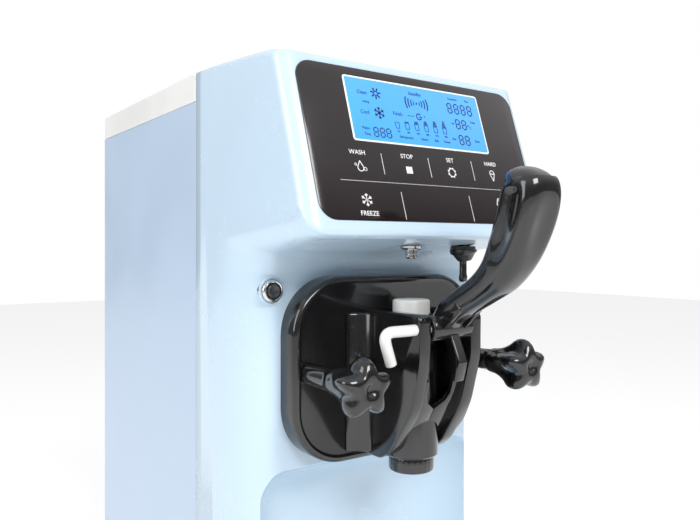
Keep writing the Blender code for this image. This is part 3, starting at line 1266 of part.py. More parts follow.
def refrigerant_lines():
    """Suction line, discharge line and the liquid line with its filter drier."""
    side = HALF - 0.022
    comp_y = fy(COMPRESSOR_BACK)
    top = FOOT_HEIGHT + PAN_FLOOR + 2 * GAP + COMPRESSOR_HEIGHT
    bm = bmesh.new()
    line_y = fy(COIL_BACK + 0.004)
    path = [(COMPRESSOR_X, comp_y, top + GAP), (COMPRESSOR_X, comp_y, top + 0.022),
            (-side, line_y, top + 0.022), (-side, line_y, HEAD_Z), (-JACKET_OUTER - GAP, line_y, HEAD_Z)]
    sweep(bm, bend(path, 0.010, 3), PIPE_RADIUS, 6)
    build("suction_line", bm, (0.72, 0.38, 0.22), 0.3, 1.0)
    bm = bmesh.new()
    z = top - 0.558 * COMPRESSOR_HEIGHT
    rear = fy(CONDENSER_BACK - 0.010)
    edge = CONDENSER_SIZE[0] / 2.0 + GAP
    path = [(COMPRESSOR_X, comp_y + COMPRESSOR_RADIUS + GAP, z),
            (COMPRESSOR_X, comp_y + COMPRESSOR_RADIUS + 0.028, z),
            (-side, comp_y + COMPRESSOR_RADIUS + 0.028, z), (-side, rear, z), (-edge, rear, z)]
    sweep(bm, bend(path, 0.0055, 3), PIPE_RADIUS, 6)
    build("discharge_line", bm, (0.72, 0.38, 0.22), 0.3, 1.0)
    bm = bmesh.new()
    dry_y = fy(BODY_DEPTH - 0.130)
    low, high = FOOT_HEIGHT + 0.294 * SHELF_RISE, FOOT_HEIGHT + 0.735 * SHELF_RISE
    leave = low - 0.098 * SHELF_RISE
    r, thin = DRIER_RADIUS, PIPE_RADIUS * 0.7
    path = bend([(edge, rear, leave), (side, rear, leave), (side, dry_y, leave),
                 (side, dry_y, low + 0.005)], 0.006, 2)
    sweep(bm, path, thin, 6)
    line = build("liquid_line", bm, (0.72, 0.38, 0.22), 0.3, 1.0)
    tool = bmesh.new()
    lathe(tool, [(0.0, low), (thin + 0.001, low), (r, low + 0.010), (r, high - 0.010),
                 (thin + 0.001, high), (0.0, high)], "z", (side, dry_y), 12)
    boolean(line, tool, "joiner_filter_drier", "UNION")
    tool = bmesh.new()
    path = bend([(side, dry_y, high - 0.005), (side, dry_y, MOTOR_Z + 0.03), (side, line_y, MOTOR_Z + 0.03),
                 (side, line_y, HEAD_Z), (JACKET_OUTER + GAP, line_y, HEAD_Z)], 0.008, 2)
    sweep(tool, path, thin, 6)
    boolean(line, tool, "joiner_capillary", "UNION")


def power_fittings():
    """Mains inlet, rocker switch and the power board box on the shelf."""
    depth = 0.024
    half_x, half_z = INLET_HALF
    bm = bmesh.new()
    box(bm, (INLET_X - half_x, fy(BODY_DEPTH - depth), INLET_Z - half_z),
        (INLET_X + half_x, fy(BODY_DEPTH), INLET_Z + half_z))
    inlet = build("mains_inlet", bm, (0.03, 0.03, 0.03), 0.5)
    tool = bmesh.new()
    box(tool, (INLET_X - half_x + 0.0025, fy(BODY_DEPTH - depth + 0.006), INLET_Z - half_z + 0.0025),
        (INLET_X + half_x - 0.0025, fy(BODY_DEPTH + 0.01), INLET_Z + half_z - 0.0025))
    boolean(inlet, tool, "cutter_inlet_socket")
    half_x, half_z = SWITCH_HALF
    bm = bmesh.new()
    box(bm, (SWITCH_X - half_x, fy(BODY_DEPTH - depth), INLET_Z - half_z),
        (SWITCH_X + half_x, fy(BODY_DEPTH), INLET_Z + half_z))
    housing = build("switch_housing", bm, (0.03, 0.03, 0.03), 0.5)
    tool = bmesh.new()
    box(tool, (SWITCH_X - half_x + 0.0015, fy(BODY_DEPTH - 0.014), INLET_Z - half_z + 0.0010),
        (SWITCH_X + half_x - 0.0015, fy(BODY_DEPTH + 0.01), INLET_Z + half_z - 0.0010))
    boolean(housing, tool, "cutter_switch_well")
    bm = bmesh.new()
    wide = half_x - 0.0015 - SLIDE_GAP
    tall = half_z - 0.0010 - 0.0012
    outline = [(fy(BODY_DEPTH - 0.0080), INLET_Z - 0.0030), (fy(BODY_DEPTH - 0.0030), INLET_Z - tall),
               (fy(BODY_DEPTH - 0.0012), INLET_Z - tall + 0.0003), (fy(BODY_DEPTH - 0.0022), INLET_Z),
               (fy(BODY_DEPTH - 0.0012), INLET_Z + tall - 0.0003), (fy(BODY_DEPTH - 0.0030), INLET_Z + tall),
               (fy(BODY_DEPTH - 0.0080), INLET_Z + 0.0030)]
    prism(bm, outline, "x", SWITCH_X - wide, SWITCH_X + wide)
    build("power_rocker", bm, (0.45, 0.03, 0.03), 0.35, 0.0, (SWITCH_X, fy(BODY_DEPTH - 0.0040), INLET_Z))


# ---------------------------------------------------------------- bay fittings

def tray_outline(grow):
    """Plan outline of the drip tray, grown or drawn in."""
    middle = (TRAY_FRONT + TRAY_BACK) / 2.0
    return rounded(TRAY_HALF_WIDTH + grow, (TRAY_BACK - TRAY_FRONT) / 2.0 + grow, 0.012 + grow, 4,
                   (0.0, fy(middle)))


def drip_tray():
    """Lift-out drip tray hung by its rim in the base, and the slotted grid that lies in it."""
    rim_low, rim_top = DECK_Z + GAP, DECK_Z + 0.0020
    floor = DECK_Z - TRAY_DEPTH
    wall = TRAY_WALL
    rows = [(-wall, floor + wall), (-wall, DECK_Z - 0.0040), (TRAY_LEDGE - wall, DECK_Z - 0.0040),
            (TRAY_LEDGE - wall, rim_top), (TRAY_RIM, rim_top), (TRAY_RIM, rim_low),
            (TRAY_LEDGE, rim_low), (TRAY_LEDGE, DECK_Z - 0.0055), (0.0, DECK_Z - 0.0055), (0.0, floor)]
    bm = bmesh.new()
    rings = [[bm.verts.new((x, y, z)) for x, y in tray_outline(grow - TRAY_LEDGE)] for grow, z in rows]
    for one, two in zip(rings, rings[1:]):
        for i in range(len(one)):
            j = (i + 1) % len(one)
            bm.faces.new((one[i], one[j], two[j], two[i]))
    bm.faces.new(list(reversed(rings[0])))
    bm.faces.new(rings[-1])
    middle = fy((TRAY_FRONT + TRAY_BACK) / 2.0)
    build("drip_tray", bm, (0.03, 0.03, 0.03), 0.4, 0.0, (0.0, middle, floor))
    bm = bmesh.new()
    prism(bm, tray_outline(-wall - SLIDE_GAP), "z", DECK_Z - 0.0040 + GAP, DECK_Z + 0.0010)
    grid = build("drip_grid", bm, (0.72, 0.72, 0.73), 0.3, 1.0, (0.0, middle, DECK_Z))
    tool = bmesh.new()
    length = TRAY_BACK - TRAY_FRONT - 0.030
    for i in range(GRID_SLOTS):
        y = fy(TRAY_FRONT + 0.015 + length * i / (GRID_SLOTS - 1))
        for side in (-1, 1):
            prism(tool, rounded(0.029, 0.0032, 0.0030, 1, (side * 0.035, y)), "z", DECK_Z - 0.02, DECK_Z + 0.02)
    boolean(grid, tool, "cutter_grid_slots")


TRAY_LEDGE = 0.005

front_shell()
side_panels()
rear_panel()
top_cover()
base_pan()
feet()
inner_frame()
console()
dispensing_head()
head_fittings()
valve()
draw_handle()
handle_pin()
hopper()
hopper_lid()
air_tubes()
freezing_cylinder()
evaporator()
beater()
gearbox_and_motor()
drive()
compressor()
condenser()
fan()
refrigerant_lines()
power_fittings()
drip_tray()
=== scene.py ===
import math

import bmesh
import bpy
from mathutils import Matrix, Vector


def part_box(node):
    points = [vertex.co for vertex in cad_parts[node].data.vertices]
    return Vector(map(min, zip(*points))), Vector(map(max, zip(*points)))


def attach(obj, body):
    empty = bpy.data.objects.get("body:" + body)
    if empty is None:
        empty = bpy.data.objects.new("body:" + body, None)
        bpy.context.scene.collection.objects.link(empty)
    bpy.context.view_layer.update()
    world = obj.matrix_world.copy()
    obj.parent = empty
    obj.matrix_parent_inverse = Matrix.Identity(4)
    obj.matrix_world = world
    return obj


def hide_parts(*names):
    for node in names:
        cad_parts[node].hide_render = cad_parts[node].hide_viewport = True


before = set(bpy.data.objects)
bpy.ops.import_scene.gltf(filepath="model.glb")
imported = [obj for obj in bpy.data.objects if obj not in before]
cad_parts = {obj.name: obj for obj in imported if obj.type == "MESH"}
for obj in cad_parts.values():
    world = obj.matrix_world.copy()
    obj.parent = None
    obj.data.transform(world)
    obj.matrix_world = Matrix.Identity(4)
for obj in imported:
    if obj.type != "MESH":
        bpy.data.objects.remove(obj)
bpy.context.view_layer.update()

# --- Camera, studio and floor -------------------------------------------------------------------
# The machine stands on a pale floor in soft studio light. The camera is level, a little below the
# console, in front and to the left, as a buyer would bend down to look at the dispensing head.
cam = bpy.data.objects.new("camera", bpy.data.cameras.new("camera"))
bpy.context.scene.collection.objects.link(cam)
shell_low, shell_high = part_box("front_shell")
face_y = shell_high.y - 0.102          # the flat front face
top_z = shell_high.z
half_width = shell_high.x
cam.location = (-0.365, face_y - 0.475, top_z - 0.152)
cam.rotation_mode = "QUATERNION"
cam.rotation_quaternion = Vector((0.578, 0.816, 0.0)).to_track_quat("-Z", "Y")
cam.data.lens = 36.36
cam.data.sensor_width = 36.0
cam.data.shift_y = -0.0186
cam.data.clip_start = 0.02
bpy.context.scene.camera = cam
bpy.context.scene.view_settings.view_transform = "Standard"

world = bpy.data.worlds.new("studio")
world.use_nodes = True
bpy.context.scene.world = world
nodes, links = world.node_tree.nodes, world.node_tree.links
plain = nodes["Background"]
plain.inputs["Color"].default_value = (1.0, 1.0, 1.0, 1.0)
room = nodes.new("ShaderNodeBackground")
where = nodes.new("ShaderNodeTexCoord")
split = nodes.new("ShaderNodeSeparateXYZ")
height = nodes.new("ShaderNodeMapRange")
height.inputs["From Min"].default_value, height.inputs["From Max"].default_value = -1.0, 1.0
tone = nodes.new("ShaderNodeValToRGB")
tone.color_ramp.elements[0].position, tone.color_ramp.elements[1].position = 0.0, 1.0
tone.color_ramp.elements[0].color = (0.30, 0.30, 0.31, 1.0)
tone.color_ramp.elements[1].color = (1.0, 1.0, 1.0, 1.0)
for place, level in ((0.48, 0.20), (0.60, 0.26), (0.76, 0.78)):
    tone.color_ramp.elements.new(place).color = (level, level, level * 1.02, 1.0)
room.inputs["Strength"].default_value = 0.98
seen = nodes.new("ShaderNodeLightPath")
blend = nodes.new("ShaderNodeMixShader")
links.new(where.outputs["Generated"], split.inputs["Vector"])
links.new(split.outputs["Z"], height.inputs["Value"])
links.new(height.outputs["Result"], tone.inputs["Fac"])
links.new(tone.outputs["Color"], room.inputs["Color"])
links.new(seen.outputs["Is Camera Ray"], blend.inputs["Fac"])
links.new(room.outputs["Background"], blend.inputs[1])
links.new(plain.outputs["Background"], blend.inputs[2])
links.new(blend.outputs["Shader"], nodes["World Output"].inputs["Surface"])


def soft_box(name, place, aim, size, watts):
    light = bpy.data.lights.new(name, "AREA")
    light.shape = "RECTANGLE"
    light.size, light.size_y = size
    light.energy = watts
    lamp = bpy.data.objects.new(name, light)
    lamp.location = place
    lamp.rotation_mode = "QUATERNION"
    lamp.rotation_quaternion = (Vector(aim) - Vector(place)).to_track_quat("-Z", "Y")
    bpy.context.scene.collection.objects.link(lamp)


soft_box("key_box", (-0.25, -1.9, 1.7), (0.0, 0.0, 0.35), (1.1, 0.8), 32.0)
soft_box("side_box", (-1.9, 0.1, 1.1), (0.0, 0.1, 0.4), (0.9, 1.2), 14.0)

floor_mesh = bpy.data.meshes.new("floor")
bm = bmesh.new()
bmesh.ops.create_grid(bm, x_segments=1, y_segments=1, size=6.0)
bm.to_mesh(floor_mesh)
bm.free()
floor = bpy.data.objects.new("floor", floor_mesh)
bpy.context.scene.collection.objects.link(floor)
floor_paper = bpy.data.materials.new("floor_paper")
floor_paper.use_nodes = True
paper = floor_paper.node_tree.nodes["Principled BSDF"]
paper.inputs["Base Color"].default_value = (0.86, 0.86, 0.86, 1.0)
paper.inputs["Roughness"].default_value = 0.85
paper.inputs["Emission Color"].default_value = (1.0, 1.0, 1.0, 1.0)
paper.inputs["Emission Strength"].default_value = 0.22
floor_mesh.materials.append(floor_paper)

# --- Front moulding -----------------------------------------------------------------------------
# One injection moulded cover in pale blue gloss plastic: the sloping console, the flat face behind
# the dispensing head, the cup bay under it and the nose that holds the drip tray. Its walls are
# three millimetres thick, drawn over generous radii so that it leaves the mould.


def grain_group():
    """Two octaves of fine moulded grain: colour drift, roughness and height from one place."""
    group = bpy.data.node_groups.new("moulded_grain", "ShaderNodeTree")
    face = group.interface
    for name, kind, value in (("Position", "NodeSocketVector", None), ("Scale", "NodeSocketFloat", 900.0),
                              ("Rough Low", "NodeSocketFloat", 0.2),
                              ("Rough High", "NodeSocketFloat", 0.3)):
        socket = face.new_socket(name=name, in_out="INPUT", socket_type=kind)
        if value is not None:
            socket.default_value = value
    for name in ("Drift", "Roughness", "Height"):
        face.new_socket(name=name, in_out="OUTPUT", socket_type="NodeSocketFloat")
    nodes, links = group.nodes, group.links
    way_in, way_out = nodes.new("NodeGroupInput"), nodes.new("NodeGroupOutput")
    fine, broad = nodes.new("ShaderNodeTexNoise"), nodes.new("ShaderNodeTexNoise")
    spread = nodes.new("ShaderNodeMapRange")
    links.new(way_in.outputs["Position"], fine.inputs["Vector"])
    links.new(way_in.outputs["Position"], broad.inputs["Vector"])
    links.new(way_in.outputs["Scale"], fine.inputs["Scale"])
    fine.inputs["Detail"].default_value = 3.0
    broad.inputs["Scale"].default_value = 14.0
    broad.inputs["Detail"].default_value = 4.0
    links.new(broad.outputs["Fac"], spread.inputs["Value"])
    spread.inputs["From Min"].default_value, spread.inputs["From Max"].default_value = 0.3, 0.7
    links.new(way_in.outputs["Rough Low"], spread.inputs["To Min"])
    links.new(way_in.outputs["Rough High"], spread.inputs["To Max"])
    links.new(broad.outputs["Fac"], way_out.inputs["Drift"])
    links.new(spread.outputs["Result"], way_out.inputs["Roughness"])
    links.new(fine.outputs["Fac"], way_out.inputs["Height"])
    return group


moulded_grain = grain_group()


def finish_with_grain(name, dark, light, rough, metal=0.0, scale=900.0, bump=0.02, coat=0.0,
                      coat_rough=0.05, specular=0.5, height=0.0004):
    """Principled material whose colour drifts between two tones and whose gloss follows the grain."""
    made = bpy.data.materials.new(name)
    made.use_nodes = True
    nodes, links = made.node_tree.nodes, made.node_tree.links
    shader = nodes["Principled BSDF"]
    shader.inputs["Metallic"].default_value = metal
    shader.inputs["Coat Weight"].default_value = coat
    shader.inputs["Coat Roughness"].default_value = coat_rough
    shader.inputs["Specular IOR Level"].default_value = specular
    where = nodes.new("ShaderNodeTexCoord")
    grain = nodes.new("ShaderNodeGroup")
    grain.node_tree = moulded_grain
    grain.inputs["Scale"].default_value = scale
    grain.inputs["Rough Low"].default_value, grain.inputs["Rough High"].default_value = rough
    links.new(where.outputs["Object"], grain.inputs["Position"])
    ramp = nodes.new("ShaderNodeValToRGB")
    ramp.color_ramp.elements[0].position, ramp.color_ramp.elements[1].position = 0.35, 0.65
    ramp.color_ramp.elements[0].color = (*dark, 1.0)
    ramp.color_ramp.elements[1].color = (*light, 1.0)
    links.new(grain.outputs["Drift"], ramp.inputs["Fac"])
    links.new(ramp.outputs["Color"], shader.inputs["Base Color"])
    links.new(grain.outputs["Roughness"], shader.inputs["Roughness"])
    bumps = nodes.new("ShaderNodeBump")
    bumps.inputs["Strength"].default_value = bump
    bumps.inputs["Distance"].default_value = height
    links.new(grain.outputs["Height"], bumps.inputs["Height"])
    links.new(bumps.outputs["Normal"], shader.inputs["Normal"])
    return made


def piece(name, bm, material, body="machine", stands_for=(), crease=35.0, weighted=True,
          bevel=None, keep_normals=False):
    """Make a finished object of a bmesh: clean, outward, shaded, riding on its body."""
    bmesh.ops.remove_doubles(bm, verts=bm.verts, dist=1e-6)
    if not keep_normals:
        bmesh.ops.recalc_face_normals(bm, faces=bm.faces)
    mesh = bpy.data.meshes.new(name)
    bm.to_mesh(mesh)
    bm.free()
    mesh.materials.append(material)
    mesh.shade_smooth()
    mesh.set_sharp_from_angle(angle=math.radians(crease))
    made = bpy.data.objects.new(name, mesh)
    bpy.context.scene.collection.objects.link(made)
    if bevel:
        edge = made.modifiers.new("soft_edges", "BEVEL")
        edge.width, edge.segments, edge.limit_method = bevel, 3, "ANGLE"
        edge.angle_limit = math.radians(40.0)
        edge.harden_normals = False
    if weighted:
        made.modifiers.new("even_shading", "WEIGHTED_NORMAL").keep_sharp = True
    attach(made, body)
    for node in stands_for:
        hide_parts(node)
    return made


def fillet(points, steps=6):
    """Outline with its corners rounded; each point is (a, b, radius)."""
    out = []
    count = len(points)
    for i, (a, b, radius) in enumerate(points):
        here = Vector((a, b))
        if radius <= 0.0 or i in (0, count - 1):
            out.append(here)
            continue
        to_back = (Vector(points[i - 1][:2]) - here)
        to_next = (Vector(points[i + 1][:2]) - here)
        angle = to_back.angle(to_next)
        cut = min(radius / math.tan(angle / 2.0), 0.49 * to_back.length, 0.49 * to_next.length)
        start, end = here + to_back.normalized() * cut, here + to_next.normalized() * cut
        for k in range(steps + 1):
            t = k / steps
            out.append(start * (1 - t) ** 2 + here * 2 * t * (1 - t) + end * t ** 2)
    return out


bay_top = top_z - 0.326
deck_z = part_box("drip_tray")[1].z - 0.002
ground = shell_low.z
nose = face_y - shell_low.y
side_line = [(0.102, top_z, 0), (0.064, top_z - 0.002, 0.05), (0.008, top_z - 0.006, 0.08),
             (-0.030, top_z - 0.0095, 0.03), (-0.0425, top_z - 0.0125, 0.006),
             (-0.044, top_z - 0.018, 0.004),
             (-0.082, top_z - 0.136, 0.01), (-0.0845, top_z - 0.1435, 0.005),
             (-0.078, top_z - 0.1462, 0.003),
             (-0.004, top_z - 0.1565, 0.014), (0.0, top_z - 0.172, 0.008), (0.0, bay_top, 0.0),
             (0.0, deck_z + 0.030, 0.0), (0.0, deck_z - 0.0005, 0.010),
             (-nose + 0.010, deck_z - 0.0035, 0.014), (-nose, deck_z - 0.020, 0.012),
             (-nose, ground + 0.003, 0.003), (-nose + 0.004, ground, 0.002), (0.102, ground, 0)]
chain = fillet(side_line)
dense = [chain[0]]
for point in chain[1:]:
    pieces_between = max(1, int((point - dense[-1]).length / 0.012))
    start = dense[-1]
    for k in range(1, pieces_between + 1):
        dense.append(start.lerp(point, k / pieces_between))


def smooth_step(value, low, high):
    share = min(max((value - low) / (high - low), 0.0), 1.0)
    return share * share * (3.0 - 2.0 * share)


def eased(x, y, z):
    """Draw the moulding in towards its sides: small radii on the console, a long one on the face."""
    edge = half_width - abs(x)
    below_lip = smooth_step(top_z - 0.140 - z, 0.0, 0.020)
    above_nose = smooth_step(z, deck_z + 0.004, deck_z + 0.030)
    face = below_lip * above_nose
    nose_part = 1.0 - above_nose
    front = 1.0 - smooth_step(y, 0.0, 0.075)
    reach_x = 0.012 + 0.011 * face + 0.016 * nose_part
    reach_y = 0.012 + 0.046 * face + 0.016 * nose_part
    into = min(max(reach_x - edge, 0.0) / reach_x, 1.0)
    pull = 1.0 - math.sqrt(max(1.0 - into * into, 0.0))
    y_new = y + reach_y * pull * front
    under = smooth_step(top_z - 0.130 - z, 0.0,
                        0.008) * (1.0 - smooth_step(top_z - 0.150 - z, 0.004, 0.030))
    under *= 1.0 - smooth_step(y, -0.002, 0.02)
    into_z = min(max(0.016 - edge, 0.0) / 0.016, 1.0)
    z_new = z + 0.012 * under * (1.0 - math.sqrt(max(1.0 - into_z * into_z, 0.0)))
    crown = smooth_step(z, top_z - 0.022, top_z - 0.010)
    into_top = min(max(0.004 - edge, 0.0) / 0.004, 1.0)
    z_new -= 0.0035 * crown * (1.0 - math.sqrt(max(1.0 - into_top * into_top, 0.0)))
    return y_new, z_new


stations = [0.0, 0.0002, 0.0008, 0.0018, 0.0030, 0.0045, 0.0062, 0.0082, 0.0105, 0.0130, 0.0160, 0.0195,
            0.0230, 0.0280, 0.045, 0.070, 0.095]
stations = [-half_width + s for s in stations] + [0.0] + [half_width - s for s in reversed(stations)]
bm = bmesh.new()
first = [bm.verts.new((stations[0], p.x, p.y)) for p in dense]
edges = [bm.edges.new(pair) for pair in zip(first, first[1:])]
edges.append(bm.edges.new((first[-1], first[0])))
for here, there in zip(stations, stations[1:]):
    grown = bmesh.ops.extrude_edge_only(bm, edges=edges)["geom"]
    edges = [e for e in grown if isinstance(e, bmesh.types.BMEdge)]
    moved = [v for v in grown if isinstance(v, bmesh.types.BMVert)]
    bmesh.ops.translate(bm, verts=moved, vec=(there - here, 0.0, 0.0))
bmesh.ops.holes_fill(bm, edges=bm.edges, sides=0)
for v in bm.verts:
    y_new, z_new = eased(v.co.x, v.co.y, v.co.z)
    v.co = (v.co.x, face_y + y_new, z_new)
shell_plastic = finish_with_grain("shell_plastic", (0.520, 0.665, 0.790), (0.532, 0.676, 0.800),
                                  (0.20, 0.30), scale=500.0, bump=0.015, coat=0.35, coat_rough=0.12)
outer_shell = piece("outer_form", bm, shell_plastic, weighted=False)


def cutter(name, bm):
    """Hidden solid that a boolean takes away."""
    bmesh.ops.recalc_face_normals(bm, faces=bm.faces)
    mesh = bpy.data.meshes.new(name)
    bm.to_mesh(mesh)
    bm.free()
    made = bpy.data.objects.new(name, mesh)
    bpy.context.scene.collection.objects.link(made)
    return made


def cut_away(target, tools):
    """Apply exact boolean cuts at once and drop the cutters."""
    for tool in tools:
        cut = target.modifiers.new("cut", "BOOLEAN")
        cut.operation, cut.solver, cut.object = "DIFFERENCE", "EXACT", tool
    bpy.context.view_layer.update()
    done = bpy.data.meshes.new_from_object(target.evaluated_get(bpy.context.evaluated_depsgraph_get()))
    target.modifiers.clear()
    target.data = done
    for tool in tools:
        bpy.data.objects.remove(tool)
    return target


def rounded_ring(bm, half_a, half_b, radius, steps, place):
    """Closed loop of vertices round a rectangle with round corners, put in space by place()."""
    ring = []
    for sa, sb, start in ((1, 1, 0), (-1, 1, 90), (-1, -1, 180), (1, -1, 270)):
        for k in range(steps + 1):
            turn = math.radians(start + 90.0 * k / steps)
            ring.append(bm.verts.new(place(sa * (half_a - radius) + radius * math.cos(turn),
                                           sb * (half_b - radius) + radius * math.sin(turn))))
    return [bm.edges.new((ring[k], ring[(k + 1) % len(ring)])) for k in range(len(ring))]


def bridge(bm, loops, cap=True):
    """Skin neighbouring loops and close the two ends."""
    for one, two in zip(loops, loops[1:]):
        bmesh.ops.bridge_loops(bm, edges=one + two)
    if cap:
        bmesh.ops.holes_fill(bm, edges=loops[0] + loops[-1], sides=0)


bay_half = 0.110
bay_middle = (bay_top + deck_z) / 2.0
bay_tall = (bay_top - deck_z) / 2.0
bm = bmesh.new()
loops = []
for depth, grow in ((-0.004, 0.0050), (-0.0006, 0.0022), (0.0006, 0.0008), (0.0025, -0.0004),
                    (0.008, -0.0025),
                    (0.015, -0.0065), (0.022, -0.0125), (0.028, -0.0200), (0.0325, -0.0285),
                    (0.035, -0.0390)):
    loops.append(rounded_ring(
        bm, bay_half + grow, bay_tall + grow / 2.0, 0.022, 8,
        lambda a, b, d=depth, g=grow: (a, face_y + d, bay_middle + g / 2.0 + b)))
bridge(bm, loops)
cut_away(outer_shell, [cutter("bay_form", bm)])
bm = bmesh.new()
bm.from_mesh(outer_shell.data)
bpy.data.objects.remove(outer_shell)
bmesh.ops.remove_doubles(bm, verts=bm.verts, dist=1e-5)
bmesh.ops.dissolve_degenerate(bm, edges=bm.edges, dist=1e-5)
bmesh.ops.recalc_face_normals(bm, faces=bm.faces)
caps = [f for f in bm.faces if all(v.co.y > shell_high.y - 1e-5 for v in f.verts)
        or all(v.co.z < ground + 1e-5 for v in f.verts)]
bmesh.ops.delete(bm, geom=caps, context="FACES")
shell = piece("moulded_front", bm, shell_plastic, stands_for=["front_shell"],
              keep_normals=True, weighted=False, crease=32.0)
wall = shell.modifiers.new("wall", "SOLIDIFY")
wall.thickness, wall.offset, wall.thickness_clamp = 0.003, -1.0, 0.6

# --- Touch panel and its printed keys -----------------------------------------------------------
# A hard-coated acrylic sheet, smoke black on its back, glued flush on the sloping console. The key
# words and marks are screen printed in white ink, in two rows parted by fine lines. The ink is given
# a faint painted glow, an emission that brightens it though it is no lamp.
console_up = Vector((0.0, 0.038, 0.120)).normalized()
console_out = Vector((1.0, 0.0, 0.0)).cross(console_up)
console = Matrix((Vector((1.0, 0.0, 0.0)), console_up, console_out)).transposed().to_4x4()
console.translation = Vector((0.0, face_y - 0.063, top_z - 0.076))
panel_half = half_width - 0.0103
panel_tall = 0.0607
panel_face = 0.0006


def plate(bm, half_a, half_b, radius, low, high, edge, steps=8, shift=(0.0, 0.0)):
    """Flat plate with round corners and a softened front edge, between two heights."""
    def loop(grow, level):
        return rounded_ring(bm, half_a + grow, half_b + grow, radius + grow, steps,
                            lambda a, b: (a + shift[0], b + shift[1], level))
    rows = [(0.0, low), (0.0, high - edge), (-0.3 * edge, high - 0.3 * edge), (-edge, high)]
    bridge(bm, [loop(grow, level) for grow, level in rows])


def finish_flat(name, colour, rough, metal=0.0, coat=0.0, glow=None, strength=0.0):
    """Even printed or lit finish with only a breath of grain in it."""
    tone = tuple(0.93 * c for c in colour)
    made = finish_with_grain(name, tone, colour, (rough * 0.9, rough * 1.1), metal=metal, scale=1500.0,
                             bump=0.01, coat=coat, height=0.0001)
    if glow:
        shader = made.node_tree.nodes["Principled BSDF"]
        shader.inputs["Emission Color"].default_value = (*glow, 1.0)
        shader.inputs["Emission Strength"].default_value = strength
    return made


panel_acrylic = finish_with_grain("panel_acrylic", (0.0095, 0.0055, 0.0060), (0.0125, 0.0075, 0.0080),
                                  (0.10, 0.16),
                                  scale=900.0, bump=0.004, coat=0.4, coat_rough=0.04, height=0.0001)
bm = bmesh.new()
plate(bm, panel_half, panel_tall, 0.0137, -0.0012, panel_face, 0.0005)
bm.transform(console)
piece("panel_sheet", bm, panel_acrylic, stands_for=["touch_panel"], weighted=False)


def bar(bm, a0, b0, a1, b1, width):
    """Flat strip between two places on the console, all in millimetres."""
    start, end = Vector((a0, b0)), Vector((a1, b1))
    side = (end - start).normalized().orthogonal() * width / 2.0
    corners = [start - side, end - side, end + side, start + side]
    bm.faces.new([bm.verts.new((c.x, c.y, 0.0)) for c in corners])


def disc(bm, a, b, radius, steps=16):
    centre = Matrix.Translation((a, b, 0.0))
    bmesh.ops.create_circle(bm, cap_ends=True, segments=steps, radius=radius, matrix=centre)


def arc(bm, a, b, radius, start, end, width, steps=10):
    """Curved strip round a centre, angles in degrees."""
    rows = []
    for k in range(steps + 1):
        turn = math.radians(start + (end - start) * k / steps)
        rows.append([bm.verts.new((a + r * math.cos(turn), b + r * math.sin(turn), 0.0))
                     for r in (radius - width / 2.0, radius + width / 2.0)])
    for one, two in zip(rows, rows[1:]):
        bm.faces.new((one[0], two[0], two[1], one[1]))


def words(bm, text, a, b, tall, narrow=1.0):
    """Plain capitals set flat, centred on a place; tall is the height of a capital in millimetres."""
    curve = bpy.data.curves.new("words", "FONT")
    curve.body, curve.size = text, tall / 0.70
    curve.align_x, curve.align_y = "CENTER", "CENTER"
    curve.resolution_u = 3
    holder = bpy.data.objects.new("words", curve)
    bpy.context.scene.collection.objects.link(holder)
    bpy.context.view_layer.update()
    flat = bpy.data.meshes.new_from_object(holder.evaluated_get(bpy.context.evaluated_depsgraph_get()))
    flat.transform(Matrix.Translation((a, b, 0.0)) @ Matrix.Diagonal((narrow, 1.0, 1.0, 1.0)))
    bm.from_mesh(flat)
    bpy.data.objects.remove(holder)
    bpy.data.curves.remove(curve)
    bpy.data.meshes.remove(flat)


def snowflake(bm, a, b, radius, width):
    for k in range(6):
        turn = math.radians(30.0 + 60.0 * k)
        c, s = math.cos(turn), math.sin(turn)
        bar(bm, a, b, a + radius * c, b + radius * s, width)
        for side in (-1, 1):
            knee = (a + 0.58 * radius * c, b + 0.58 * radius * s)
            branch = turn + side * math.radians(42.0)
            bar(bm, *knee, knee[0] + 0.36 * radius * math.cos(branch),
                knee[1] + 0.36 * radius * math.sin(branch),
                width * 0.9)


def printed(name, bm, ink, level):
    """Give flat marks in millimetres the thickness of the ink and lay them on the console."""
    bmesh.ops.scale(bm, vec=(0.001, 0.001, 1.0), verts=bm.verts)
    bmesh.ops.translate(bm, vec=(0.0, 0.0, level - 0.0001), verts=bm.verts)
    for face in bm.faces:
        face.normal_update()
        if face.normal.z > 0.0:
            face.normal_flip()
    grown = bmesh.ops.extrude_face_region(bm, geom=list(bm.faces), use_keep_orig=True)["geom"]
    raised = [v for v in grown if isinstance(v, bmesh.types.BMVert)]
    bmesh.ops.translate(bm, vec=(0.0, 0.0, 0.00025), verts=raised)
    bm.transform(console)
    return piece(name, bm, ink, weighted=False)


# Painted glow: the white print ink emits a little light so that it reads brighter, though ink is no lamp.
white_ink_painted_glow = finish_flat("white_ink_painted_glow", (0.86, 0.86, 0.85), 0.45, glow=(1.0, 1.0, 1.0), strength=0.12)
bm = bmesh.new()
for text, a, b in (("WASH", -69.4, -9.0), ("STOP", -23.4, -8.8), ("SET", 20.8, -8.6), ("HARD", 65.9, -8.6),
                   ("FREEZE", -68.2, -55.4), ("SOFT", 65.9, -55.4)):
    words(bm, text, a, b, 3.5)
for a, low, high in ((-47.8, -24.6, -8.2), (-2.2, -24.4, -8.0), (44.0, -24.2, -7.6),
                     (-36.0, -59.0, -37.8), (32.9, -59.0, -37.8)):
    bar(bm, a, low, a, high, 0.35)
for k in range(113):
    bar(bm, -88.0 + 1.56 * k, -31.0, -87.2 + 1.56 * k, -31.0, 0.4)
disc(bm, -23.3, -19.7, 0.01)
bar(bm, -26.2, -19.7, -20.4, -19.7, 5.4)
arc(bm, 20.4, -18.9, 3.3, 0.0, 360.0, 0.6, 24)
for k in range(8):
    turn = math.radians(22.5 + 45.0 * k)
    bar(bm, 20.4 + 3.4 * math.cos(turn), -18.9 + 3.4 * math.sin(turn),
        20.4 + 4.4 * math.cos(turn), -18.9 + 4.4 * math.sin(turn), 1.1)
